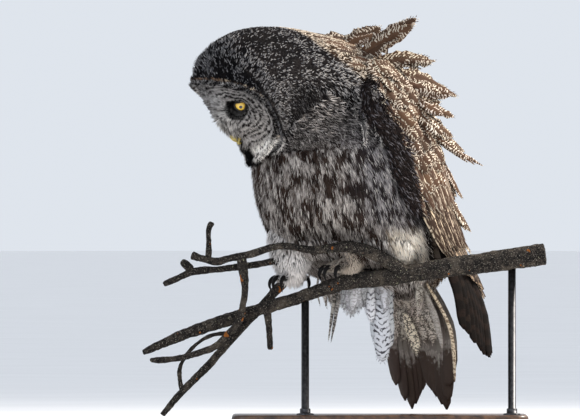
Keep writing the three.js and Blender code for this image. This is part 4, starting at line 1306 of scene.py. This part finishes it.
def make_mantle(wavy):
    feathers = Feathers()
    for index, at in enumerate(np.arange(12.7, 2.2, -0.42)):
        spread = min(lookup(MANTLE_EDGE, at), 84) if at > 9.4 else 62
        reach = 1.15 if at < 9.6 else 1.0
        half = 9.0 if at > 11.6 else 12.5
        for turn in np.arange(180 - spread + 4 * (index % 2), 180 + spread, 10.5 if at > 6 else 11.5):
            jitter = RNG.standard_normal(4)
            root = at + 0.08 * jitter[0], turn + jitter[1]
            tip = at - reach + 0.1 * jitter[2], turn + jitter[1] + 2.5 * jitter[3]
            tint = mix(BROWN, COCOA, 0.7 * RNG.random())
            stand = 2 + 6 * RNG.random() ** 2 * (at < 11.6)
            mark = mix(WASHED, STRAW, 0.6 * RNG.random())
            trunk_feather(feathers, root, tip, stand, half, tint, mark)
    for row in NECK_RUFFLES + BACK_RUFFLES:
        solid_ruffle(feathers, *row)
    feathers.piece("mantle_feathers", wavy, "plumage_brown")


NECK_SIDE = [  # rows and turns along each pale-edged feather beside the wing, and its half width
    [(11.1, 98), (10.4, 94), (9.6, 88), 8.0],
    [(11.0, 96), (10.6, 90), (10.2, 86), 4.5],
    [(10.9, 91), (10.4, 86), (10.1, 80), 4.5],
    [(10.7, 70), (10.2, 72), (9.6, 66), 4.5],
    [(10.6, 78), (10.0, 80), (9.0, 72), 5.5],
    [(10.4, 82), (9.6, 82), (8.5, 76), 6.0],
    [(10.2, 84), (9.2, 81), (8.0, 77), 5.5],
    [(10.3, 60), (9.8, 62), (9.1, 57), 5.0],
    [(9.8, 70), (9.0, 70), (8.1, 66), 5.0],
]


def make_neck_side(edged):
    """Ruffled feathers with pale edges where the neck meets the wing."""
    feathers = Feathers()
    for sign in (1, -1):
        for *places, half in NECK_SIDE:
            at, turn = np.array(places, float).T
            place, normal, _ = body_axes(at, sign * turn)
            lift = 17.0 if half > 7 else 10.0
            place = place + times(normal, [-2.0, lift, lift - 1.0])
            feathers.add(place, normal[1], half, vary("4a4745"), vary("cfc9c3"), stations=10,
                         outline=POINTED_OUTLINE, ragged=0.12, barb_reach=0.9)
    feathers.piece("neck_side_feathers", edged, "plumage_grey")


HANGING = [  # places along and up at the root and the tip, place out, half width, tint, mark, outline
    [-66, 232, -80, 130, 36, 3.2, "b9b2ab", "38322f", POINTED_OUTLINE],
    [-58, 228, -76, 128, 40, 3.4, "a8a19b", "38322f", POINTED_OUTLINE],
    [-64, 230, -70, 164, 30, 4.0, "c8c6c6", "4a4645", POINTED_OUTLINE],
    [-50, 228, -56, 176, 44, 5.0, "d2d2d2", "6d6a6b", POINTED_OUTLINE],
]
BARRED_HANGING = [
    [2, 232, 4, 98, 46, 13.5, "cbccd0", "4b4a4f", TAIL_OUTLINE],
    [-5, 230, -5, 126, 40, 10.0, "cfd0d3", "58565a", TAIL_OUTLINE],
    [10, 232, 13, 118, 42, 10.0, "c8c9cd", "504f54", TAIL_OUTLINE],
    [-14, 230, -14, 160, 48, 7.0, "d8d8da", "6a696d", TAIL_OUTLINE],
]
FLUFF_COUNT = 26
FRINGE_COUNT = 34


def hanging_feather(feathers, along, up, tip_along, tip_up, out, half, tint, mark, outline, **shape):
    top = perch_place(along, out, up)
    low = perch_place(tip_along, out + 5, tip_up)
    middle = (top + low) / 2 + OUT * 4
    feathers.add([top, middle, low], OUT, half, vary(tint, 0.08), vary(mark, 0.1),
                 outline=outline, **shape)


def make_hanging(maze, chevron):
    """Loose pale feathers hanging from the lower belly: thin wisps, fluff and a few barred ones."""
    barred, feathers = Feathers(), Feathers()
    for row in BARRED_HANGING:
        hanging_feather(barred, *row, barbs=20, ragged=0.08, barb_reach=0.35, stations=14)
    barred.piece("barred_feathers", chevron, "plumage_grey")
    for row in HANGING:
        hanging_feather(feathers, *row, barbs=18, ragged=0.12, barb_reach=0.4, stations=14)
    for k in range(FLUFF_COUNT):
        along = -54 + 72 * (k + RNG.random()) / FLUFF_COUNT
        tip_up = 222 - (34 + 18 * RNG.random())
        tip_along = along + 5 * RNG.standard_normal()
        out, half = 30 + 24 * RNG.random(), 6 + 2.5 * RNG.random()
        hanging_feather(feathers, along, 232, tip_along, tip_up, out, half, "d4d4d6", "a09ea0",
                        POINTED_OUTLINE, barbs=18, ragged=0.14, barb_reach=0.7, stations=9)
    for k in range(FRINGE_COUNT):
        turn = 100 + 7 * k + 3 * RNG.standard_normal()
        at = 1.5 + 1.2 * RNG.random()
        root = trunk_point(at, turn, -9)
        level = unit(body_axes(at, turn)[1] * LEVEL)
        length = 30 + 16 * RNG.random()
        places = [root, root + level * 3 - UP * 0.5 * length, root - level * 2 - UP * length]
        feathers.add(places, level, 8 + 3 * RNG.random(), vary("c9c2b8"), vary("6d635a"),
                     outline=POINTED_OUTLINE, ragged=0.12, barb_reach=0.55, stations=9)
    feathers.piece("hanging_feathers", maze, "plumage_grey")


TAIL_SHORTFALLS = (30, 20, 8, 0, 14, 40)  # how far each feather ends above its lobe's tip
TAIL_LEAN = 7.0  # the tips lean this far toward the tail's right


TAIL_COVERTS = [(8, 15, 118, 17, 15), (8, 14, 96, 21, 15), (7, 15, 72, 25, 15), (7, 14, 50, 28, 14)]
LOOSE_COVERTS = [  # distances aside and down of three places, half width, tint, mark
    ((14, 18, 20), (84, 118, 150), 12, "f2e6cf", "3b2f28"),
    ((62, 78, 78), (24, 84, 142), 7, "b0a9a1", "8f8880"),
    ((78, 106, 87), (30, 110, 196), 4.5, "e2d0b4", "6b5442"),
]


def make_tail(tail_material):
    feathers = Feathers()
    for side in (-1, 1):
        for k, shortfall in enumerate(TAIL_SHORTFALLS):
            face = 1.9 * (k if side > 0 else k - 1)
            aside = ALONG * k * (side > 0)
            places = [tail_point(side * (3 + 3.4 * k), 8, face) + 3.4 * aside,
                      tail_point(side * (7 + 8.6 * k), 0.46 * TAIL_LENGTH, face) + 4.2 * aside,
                      tail_point(side * (11 + 9.2 * k), TAIL_LENGTH - shortfall, face) - ALONG * TAIL_LEAN]
            feathers.add(places, TAIL_FACE, 14, vary("443831", 0.08), vary("9d958d", 0.08),
                         outline=TAIL_OUTLINE, stations=16, barbs=10, barb_reach=0.16, ragged=0.02,
                         camber=0.1, tilt=1.0 * side)
    feathers.piece("tail_feathers", tail_material, "plumage_tail")


def make_tail_coverts(maze):
    coverts = Feathers()
    for count, spread, long, face, half in TAIL_COVERTS:
        for k in range(count):
            step = k - (count - 1) / 2
            stack = face + 1.8 * (k % 2) + RNG.random()
            end = 20 + long - 1.8 * step**2 + 6 * RNG.standard_normal()
            places = [tail_point(step * spread * 0.4, 20, face * 0.4) + ALONG * 4,
                      tail_point(step * spread * 0.8, 18 + 0.5 * long, stack) + ALONG * 7,
                      tail_point(step * spread * 1.05, end, stack) + ALONG * 6]
            coverts.add(places, TAIL_FACE, half, vary("c8beb2", 0.1), vary("463c37"), barbs=14,
                        ragged=0.1)
        for step in np.arange(count - 2) - (count - 3) / 2:
            places = [tail_point(step * spread * 0.5, 6, -face * 0.5),
                      tail_point(step * spread, 10 + 0.5 * long, -face * 0.6),
                      tail_point(step * spread * 1.2, 8 + long, -face * 0.45)]
            coverts.add(places, -TAIL_FACE, half, vary(BROWN), vary(WASHED), barbs=8)
    for sides, downs, half, tint, mark in LOOSE_COVERTS:
        coverts.add(tail_point(sides, downs, 30), TAIL_FACE, half, paint(tint), paint(mark), barbs=18,
                    barb_reach=0.4)
    coverts.piece("tail_coverts", maze, "plumage_tail")


IRIS_SWING, PUPIL_SWING = 0.78, 0.95  # how far outward the two point, as tangents
EYE_SWING = 0.5  # the same for the way that the socket sinks in


def eye_toward(side, swing):
    return unit(DISC_AHEAD + DISC_LEFT * side * swing)


def ball(middle, radius, toward, up, rings, sides, swell):
    """Rings of a ball round its own axis, swollen at the front pole."""
    left = unit(np.cross(up, toward))
    polar = np.radians(np.linspace(1.0, 179.0, rings))
    bulge = radius + swell * np.exp(-((np.degrees(polar) / 24) ** 2))
    ring = around(ring_turns(sides), left, np.cross(toward, left))
    ahead = times(toward, np.cos(polar) * bulge)[:, None]
    return middle + ring * (np.sin(polar) * radius)[:, None, None] + ahead


def eye_material():
    """Yellow iris darkening to a black rim, and a black pupil, by their angles from the two axes."""
    finish = Finish("eye_finish")
    from_pupil, from_iris = finish.flat_parts("gaze")
    iris = finish.ramp(from_iris, [(0.0, "f2cf5c"), (0.18, "eec24a"), (0.25, "d9a838"), (0.28, "8a6416"),
                                   (0.30, "0a0807"), (1.0, "0a0807")])
    pupil = finish.add("ShaderNodeMapRange", "Result",
                       {"Value": from_pupil, "From Min": 0.072, "From Max": 0.08})
    flat = finish.add("ShaderNodeUVMap", "UV", {}, uv_map="gaze")
    rays = finish.add("ShaderNodeVectorMath", "Vector", {0: flat, 1: (1.0, 0.12, 1.0)}, operation="MULTIPLY")
    shade = finish.spread(finish.cloud(rays, 60.0, 3.0), 0.8, 1.15)
    colour = finish.scaled(finish.scaled(iris, pupil), shade)
    return finish.done(colour, 0.12, Coat_Weight=1.0, Coat_Roughness=0.03)


def plain_grain(name, low, high, scale, roughness, bump_depth=0.0003, specular=0.5, coat=0.0):
    """Two tones in soft grain with a little relief."""
    finish = Finish(name)
    grain = finish.cloud(finish.place(), scale, 4.0)
    return finish.done(finish.ramp(grain, [(0.35, low), (0.65, high)]), roughness, Coat_Weight=coat,
                       Normal=finish.bump(grain, 0.5, bump_depth), Specular_IOR_Level=specular)


def make_eyes():
    iris, lid = eye_material(), plain_grain("lid_finish", "0d0b0a", "1d1917", 900, 0.6)
    for name, side in (("left", 1), ("right", -1)):
        toward, pupil = eye_toward(side, IRIS_SWING), eye_toward(side, PUPIL_SWING)
        middle = face_point(side * EYE_APART, EYE_UP) + eye_toward(side, EYE_SWING) * (2.2 - EYE_RADIUS)
        points, faces = loft_mesh(ball(middle, EYE_RADIUS - 0.4, toward, DISC_BACK, 36, 48, 0.9))
        faces = [[face[0], *face[:0:-1]] for face in faces]
        ray = unit(points - middle)
        gaze = np.stack([np.arccos(np.clip(ray @ axis, -1, 1)) for axis in (pupil, toward)], -1) / math.pi
        hard_object(f"eyeball_{name}", points, faces, iris, "eye", f"eye_{name}", {"gaze": gaze})
        make_lid(name, side, toward, middle, lid)


LID_OPENING, LID_CORNER = 47.5, 6.5  # degrees from the iris's axis, and the reach of the three soft corners
LID_SIDES, LID_ROUND = 64, 10  # points round the eye and round the rim's own section


def make_lid(name, side, toward, middle, material):
    """Dark rim round the eye with three soft corners."""
    turn = ring_turns(LID_SIDES)
    left = unit(np.cross(DISC_BACK, toward))
    across = around(turn, left * side, np.cross(toward, left))
    opening = np.radians(LID_OPENING + LID_CORNER * np.cos(3 * (turn - math.radians(10))))
    rings, faces = [], []
    for i, swing in enumerate(ring_turns(LID_ROUND)):
        polar = opening + 0.13 * np.cos(swing)
        reach = EYE_RADIUS + 0.4 + 1.3 * np.sin(swing)
        rings.append(middle + times(toward, np.cos(polar) * reach) + times(across, np.sin(polar) * reach))
        after = (i + 1) % LID_ROUND * LID_SIDES
        for k in range(LID_SIDES):
            beside = (k + 1) % LID_SIDES
            quad = [i * LID_SIDES + k, i * LID_SIDES + beside, after + beside, after + k]
            faces.append(quad if side > 0 else [quad[0], *quad[:0:-1]])
    hard_object(f"lid_{name}", np.concatenate(rings), faces, material, "plumage_dark")


def make_bill():
    horn = plain_grain("bill_finish", "6f683f", "b39c45", 160, 0.35, coat=0.4)
    for name, up, long, radii, tip_ahead in (("bill_upper", -18, 19, [6.2, 6.0, 4.2, 0.8], 4.0),
                                             ("bill_lower", -35, 9, [3.2, 3.0, 2.2, 1.0], -3.0)):
        places = [face_point(0, up - long * share, ahead)
                  for share, ahead in ((0, -14), (0.2, -3.5), (0.62, 2.4), (1, tip_ahead))]
        rings = limb_rings(places, radii, 26, 24, DISC_LEFT)
        hard_object(name + "_horn", *loft_mesh(rings), horn, "bill", name)


def make_claws():
    horn = plain_grain("claw_finish", "060505", "100d0c", 300, 0.5, specular=0.12)
    for side in LEGS:
        for index, spread in enumerate(TOE_SPREADS):
            line = toe_line(side, spread)
            ahead = unit((line[2] - line[1]) * LEVEL)
            places = [line[2] + ahead * reach + UP * lift
                      for reach, lift in ((-3, 2), (5, 1.5), (10.5, -3), (12.4, -11), (8.5, -21))]
            rings = limb_rings(places, [3.6, 3.6, 3.1, 2.2, 0.4], 24, 16, np.cross(ahead, UP))
            hard_object(f"talon_{side}_{index + 1}", *loft_mesh(rings), horn, "claw",
                        f"claw_{side}_{index + 1}")


def line_strands(strands, line, radii, count, length, width, tint, base):
    """Small feathers down a leg or along a toe."""
    steps = RNG.random(count)
    t = steps * (len(line) - 1)
    after = spline(line, np.minimum(t + 0.02, len(line) - 1.001))
    ahead = unit(after - spline(line, np.maximum(t - 0.02, 0)))
    radius = np.interp(t, np.arange(len(radii)), radii)
    reference = np.where(np.abs(ahead[:, 2:3]) > 0.8, np.array([[1.0, 0, 0]]), UP)
    side = unit(np.cross(ahead, reference))
    turn = RNG.random(count) * 2 * math.pi
    out = around(turn, side, np.cross(side, ahead))
    flow = unit(ahead + out * 0.12 - UP * 0.15)
    length = length * drawn(count, 0.7, 0.6)
    shade = drawn(count, 0.75, 0.45)[:, None]
    uv = np.stack([base + 0.2 * turn / (2 * math.pi), 0.03 + 0.94 * steps], -1)
    heights = (radius - 3.6, radius - 0.8, radius + 1.2)
    strands.add(spline(line, t), out, flow, length, width, heights,
                [tint * 0.55, tint * shade, tint * 1.1 * shade], uv, bend=0.5)


def make_feet(material):
    strands = Strands()
    base = 0.02
    for side, code, long in (("left", "c6b9aa", 11.0), ("right", "e3deda", 17.0)):
        line = leg_line(side)
        line.append(line[-1] - 8 * UP)
        line_strands(strands, line, LEGS[side][1] + [13], 3200, long, 1.9, paint(code), base)
        base += 0.22
        for spread in TOE_SPREADS:
            line_strands(strands, toe_line(side, spread), [9, 8, 4.5], 560, 5.0, 1.7, paint(code) * 0.8, base)
            base += 0.03
    strands.piece("coat_legs", material, "foot")


# Perch: limbs of bark along their lines, made by Geometry Nodes

BRANCHES = {  # places along, out and up, and radii
    "main": ([[256, 105, 265], [200, 105, 257], [62, 105, 238], [20, 105, 230], [-54, 105, 221],
        [-125, 104, 198], [-216, 103, 170], [-265, 103, 154], [-315, 104, 136], [-368, 106, 112]],
        [16.5, 16.5, 14, 13.5, 12, 9.5, 9.8, 9.5, 8, 4.5]),
    "upper": ([[44, 106, 234], [0, 121, 260], [-23, 129, 271], [-50, 133, 276.5], [-79, 133, 274],
        [-104, 133, 271], [-143, 131, 277], [-168, 130, 275], [-200, 128, 265], [-233, 126, 258.5],
        [-253, 125, 253.5], [-274, 124, 257.5], [-292, 123, 263]],
        [11, 10, 10, 9, 7, 6, 5.6, 5.4, 6.2, 5.2, 6, 4.8, 6.6]),
    "second": ([[-143, 98, 236], [-160, 100, 253], [-184, 104, 250], [-217, 106, 245.5], [-250, 108, 241.5],
        [-288, 109, 238], [-308, 109, 230], [-335, 108, 218]],
        [6, 5.6, 5, 5, 5, 6, 5, 4]),
    "diagonal": ([[-138, 98, 232], [-156, 97, 214], [-178, 92, 190], [-217, 90, 148], [-249, 91, 112],
        [-266, 92, 92], [-298, 93, 61], [-326, 94, 30], [-337, 94, 15]],
        [6.5, 7.5, 7, 6.5, 6.3, 6, 5.6, 4.8, 4.5]),
    "hanging": ([[-215, 127, 262], [-212, 128, 240], [-209, 128, 212], [-212, 127, 187], [-217, 126, 165],
        [-229, 125, 149], [-252, 124, 124], [-275, 123, 114], [-308, 123, 105], [-339, 123, 101],
        [-356, 123, 101]],
        [7.5, 7.5, 5.2, 5, 5, 5, 5.4, 5, 4.6, 5, 3]),
    "looped": ([[-226, 92, 137], [-240, 100, 142], [-264, 103, 138], [-285, 103, 125], [-301, 101, 107],
        [-310, 98, 88], [-310, 95, 70], [-306, 93, 53]],
        [3.2, 2.9, 2.9, 2.9, 3.1, 3.4, 3.8, 4.6]),
    "upright": ([[-266, 124, 257], [-265, 124, 278], [-265, 124, 303], [-260, 124, 314]],
        [5, 4.2, 4, 4.6]),
    "stub": ([[-291, 109, 240], [-300, 109, 248], [-307, 109, 255]],
        [6.5, 6.6, 5]),
    "downward": ([[-175, 104, 180], [-172, 104, 148], [-170, 104, 117]],
        [6.2, 5, 4]),
}


def grow(name, base, tree, values):
    """Runs a tree on a base mesh and returns a plain mesh piece."""
    carrier = add_object(name, base)
    modifier = carrier.modifiers.new("grow", "NODES")
    modifier.node_group = tree
    sockets = {item.name: item.identifier for item in tree.interface.items_tree if item.in_out == "INPUT"}
    for label, value in values.items():
        modifier[sockets[label]] = value
    apply_modifiers(carrier)
    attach(carrier, "root")
    return carrier


LIMB_INPUTS = [("Geometry", "Geometry"), ("Round sides", "Int"), ("Swelling", "Float"), ("Ridges", "Float"),
               ("Seed", "Float"), ("Material", "Material")]


def limb_tree():
    """A tube of bark round a line, its radius read from the line, swollen and ridged by seeded noise."""
    tree = bpy.data.node_groups.new("limb_of_bark", "GeometryNodeTree")
    for label, kind in LIMB_INPUTS:
        tree.interface.new_socket(label, in_out="INPUT", socket_type="NodeSocket" + kind)
    tree.interface.new_socket("Geometry", in_out="OUTPUT", socket_type="NodeSocketGeometry")
    start = tree.nodes.new("NodeGroupInput").outputs
    limb = Graph(tree)
    line = limb.add("GeometryNodeMeshToCurve", "Curve", {"Mesh": start["Geometry"]})
    girth = limb.add("GeometryNodeInputNamedAttribute", "Attribute", {"Name": "girth"}, data_type="FLOAT")
    ring = limb.add("GeometryNodeCurvePrimitiveCircle", "Curve",
                    {"Radius": 1.0, "Resolution": start["Round sides"]})
    last = limb.add("GeometryNodeCurveToMesh", "Mesh",
                    {"Fill Caps": True, "Curve": line, "Scale": girth, "Profile Curve": ring})
    for label, scale, detail in (("Swelling", 55.0, 2.0), ("Ridges", 260.0, 3.0)):
        cloud = limb.add("ShaderNodeTexNoise", "Fac", {"Scale": scale, "Detail": detail, "W": start["Seed"]},
                         noise_dimensions="4D")
        depth = limb.sum("MULTIPLY", limb.sum("SUBTRACT", cloud, 0.5), start[label])
        offset = limb.scaled(limb.add("GeometryNodeInputNormal", 0, {}), depth)
        last = limb.add("GeometryNodeSetPosition", "Geometry", {"Geometry": last, "Offset": offset})
    soft = limb.add("GeometryNodeSetShadeSmooth", "Geometry", {"Geometry": last})
    whole = limb.add("GeometryNodeRealizeInstances", 0, {0: soft})
    coat = limb.add("GeometryNodeSetMaterial", "Geometry", {"Geometry": whole, "Material": start["Material"]})
    limb.fill(tree.nodes.new("NodeGroupOutput"), {"Geometry": coat})
    return tree


LIMB_STEP = 2.2  # between points along a limb


def limb_line(name, places, radii):
    """Edges along a smooth line, with the limb's radius at each point."""
    places = np.array([perch_place(*place) for place in places])
    reach = np.linalg.norm(np.diff(places, axis=0), axis=1).sum()
    t = np.linspace(0, len(places) - 1, max(8, int(reach / LIMB_STEP)))
    line, width = spline(places, t), spline(np.array(radii)[:, None], t)[:, 0]
    from_end = np.minimum(np.arange(len(t)), np.arange(len(t))[::-1])
    width = width * np.interp(from_end, [0, 1, 2], [0.55, 0.86, 1.0])
    mesh = bpy.data.meshes.new(name)
    mesh.from_pydata((line * MM).tolist(), [(k, k + 1) for k in range(len(t) - 1)], [])
    attribute = mesh.attributes.new("girth", "FLOAT", "POINT")
    attribute.data.foreach_set("value", (width * MM).astype(np.float32))
    return mesh


def bark_material():
    """Dark furrowed bark with grey bloom, pale green crust and a few orange spots."""
    finish = Finish("bark_finish")
    place = finish.place()
    warp = finish.cloud(place, 90.0, 3.0, "Color")
    bent = finish.add("ShaderNodeMix", 1, {"Factor": 0.02, 4: place, 5: warp}, data_type="VECTOR")
    crack = finish.add("ShaderNodeTexVoronoi", "Distance", {"Vector": bent, "Scale": 210.0},
                       feature="DISTANCE_TO_EDGE")
    furrows = finish.slide(finish.cloud(place, 150, 6.0, Roughness=0.7), 0.35, 0.65)
    base = finish.blend(furrows, paint("131110"), paint("413a34"))
    base = finish.blend(finish.slide(crack, 0.06, 0.0), base, paint("0b0908"))
    for scale, detail, low, high, code in ((34, 4.0, 0.52, 0.66, "50483f"), (620, 2.0, 0.62, 0.68, "a79f92"),
                                           (190, 3.0, 0.67, 0.71, "98957b"),
                                           (44, 2.0, 0.67, 0.69, "9c5c25")):
        spots = finish.slide(finish.cloud(place, scale, detail, Roughness=0.6), low, high)
        base = finish.blend(spots, base, paint(code))
    height = finish.sum("ADD", finish.slide(crack, 0.0, 0.14), finish.cloud(place, 420, 4.0, Roughness=0.6))
    return finish.done(base, 0.88, Normal=finish.bump(height, 1.0, 0.002), Specular_IOR_Level=0.2)


def make_perch():
    bark, tree = bark_material(), limb_tree()
    for index, (name, (places, radii)) in enumerate(BRANCHES.items()):
        sides, swelling, ridges = (44, 0.0052, 0.0034) if name == "main" else (26, 0.0036, 0.0024)
        values = {"Round sides": sides, "Swelling": swelling, "Ridges": ridges, "Seed": 0.7 * index,
                  "Material": bark}
        limb = grow(f"limb_{name}", limb_line(f"limb_{name}", places, radii), tree, values)
        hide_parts(f"perch_{name}")


BASE_LENGTH, BASE_DEPTH, BASE_THICK, BASE_CORNER = 460.0, 256.0, 16.0, 22.0
ROD_RADIUS = 6.0
RODS = [(-116, 206), (204, 258)]


def wood_material():
    finish = Finish("stand_wood_finish")
    values = {"Vector": finish.place(), "Rotation": (0, 0, -PERCH_TURN), "Scale": (1.0, 9.0, 9.0)}
    along_grain = finish.add("ShaderNodeMapping", 0, values)
    grain = finish.cloud(along_grain, 11.0, 6.0, Distortion=0.6)
    tones = finish.ramp(grain, [(0.3, "2a1c14"), (0.5, "4b3424"), (0.7, "6a4c35")])
    relief = finish.bump(finish.cloud(along_grain, 90.0, 3.0), 0.25, 0.0004)
    return finish.done(tones, 0.42, Normal=relief, Coat_Weight=0.25, Coat_Roughness=0.2)


def metal_material():
    finish = Finish("stand_metal_finish")
    brushed = finish.cloud(finish.place(), 240.0, 4.0)
    tones = finish.ramp(brushed, [(0.3, "3c3c3e"), (0.7, "58585a")])
    return finish.done(tones, finish.spread(brushed, 0.28, 0.5), Metallic=1.0)


def rounded_ring(up, inset):
    """Level ring of the base's outline."""
    radius = BASE_CORNER - inset
    points = []
    for quarter, (x, y) in enumerate(((1, 1), (-1, 1), (-1, -1), (1, -1))):
        turn = np.radians(np.linspace(0, 90, 10) + 90 * quarter)
        along = x * (BASE_LENGTH / 2 - BASE_CORNER) + radius * np.cos(turn)
        behind = y * (BASE_DEPTH / 2 - BASE_CORNER) + radius * np.sin(turn)
        points.append(times(ALONG, along) + times(-OUT, behind) + UP * up)
    return np.concatenate(points)


BASE_PROFILE = [(0.0, 1.6), (1.2, 0.4), (2.4, 0.0), (BASE_THICK - 5, 0.0), (BASE_THICK - 3.4, 0.4),
                (BASE_THICK - 1.6, 1.6), (BASE_THICK - 0.5, 3.2), (BASE_THICK, 5.2)]  # height and inset
ROD_FOOT = [(-1, 13.5), (1.6, 13.5), (2.6, 12.6), (3, 8.4), (9, 8.2), (10, 7.4),
            (10.4, ROD_RADIUS)]  # height over the base and radius


def make_stand():
    wood, metal = wood_material(), metal_material()
    rings = [rounded_ring(up, inset) for up, inset in BASE_PROFILE]
    hard_object("stand_base_board", *loft_mesh(rings), wood, "stand_wood", "stand_base")
    ring = around(ring_turns(32), ALONG, -OUT)
    for index, (along, top) in enumerate(RODS):
        lathe = [(BASE_THICK + up, radius) for up, radius in ROD_FOOT] + [(top - 14, ROD_RADIUS)]
        rings = [perch_place(along, 104.0, up) + radius * ring for up, radius in lathe]
        hard_object(f"stand_rod_post_{index + 1}", *loft_mesh(rings), metal, "stand_metal",
                    f"stand_rod_{index + 1}")


def make_studio():
    mesh = bpy.data.meshes.new("studio_floor")
    mesh.from_pydata([(-90, -90, 0), (90, -90, 0), (90, 90, 0), (-90, 90, 0)], [], [(0, 1, 2, 3)])
    floor = add_object("studio_floor", mesh)
    snow = plain_grain("floor_finish", "f0f0f1", "f4f4f5", 3, 0.9, bump_depth=0.0, specular=0.1)
    mesh.materials.append(snow)
    world = bpy.data.worlds.new("studio_air")
    world.use_nodes = True
    air = world.node_tree.nodes["Background"].inputs
    air["Color"].default_value = (*paint("e4eaf2"), 1)
    air["Strength"].default_value = 0.95
    bpy.context.scene.world = world
    add_light("key", perch_place(1700, -300, 1800), 620, 98, paint("fff2e2"))
    add_light("fill", perch_place(-1700, 2600, 1300), 2200, 22, paint("dce8ff"))
    bpy.context.scene.view_settings.view_transform = "Standard"


def add_light(name, place, size, power, colour):
    data = bpy.data.lights.new(name, "AREA")
    data.shape = "DISK"
    data.size = size * MM
    data.energy = power
    data.color = tuple(colour ** (1 / 1.5))
    light = add_object(name, data)
    light.location = place * MM
    aim = Vector(np.array([-20.0, -60.0, 330.0]) * MM) - light.location
    light.rotation_mode = "QUATERNION"
    light.rotation_quaternion = aim.to_track_quat("-Z", "Y")
    light.visible_camera = False


def make_owl():
    plumage = plumage_material("strand_finish")
    make_skin(plumage_material("skin_finish", 500))
    for make in (make_breast, make_crown, make_back_down, make_face, make_bridge, make_shoulder_shade, make_feet):
        make(plumage)
    barred, wavy = vane_material("barred", Vane.barred), vane_material("wavy", Vane.wavy)
    maze, tail = vane_material("maze", Vane.maze), vane_material("tail", Vane.tail)
    edged = vane_material("edged", Vane.edged)
    for name, side in (("left", 1), ("right", -1)):
        make_quills(name, side, barred, edged)
        make_coverts(name, side, wavy)
    make_mantle(wavy)
    make_neck_side(edged)
    make_hanging(maze, vane_material("chevron", Vane.chevron))
    make_tail(tail)
    make_tail_coverts(maze)
    make_eyes()
    make_bill()
    make_claws()


make_owl()
make_perch()
make_stand()
make_studio()
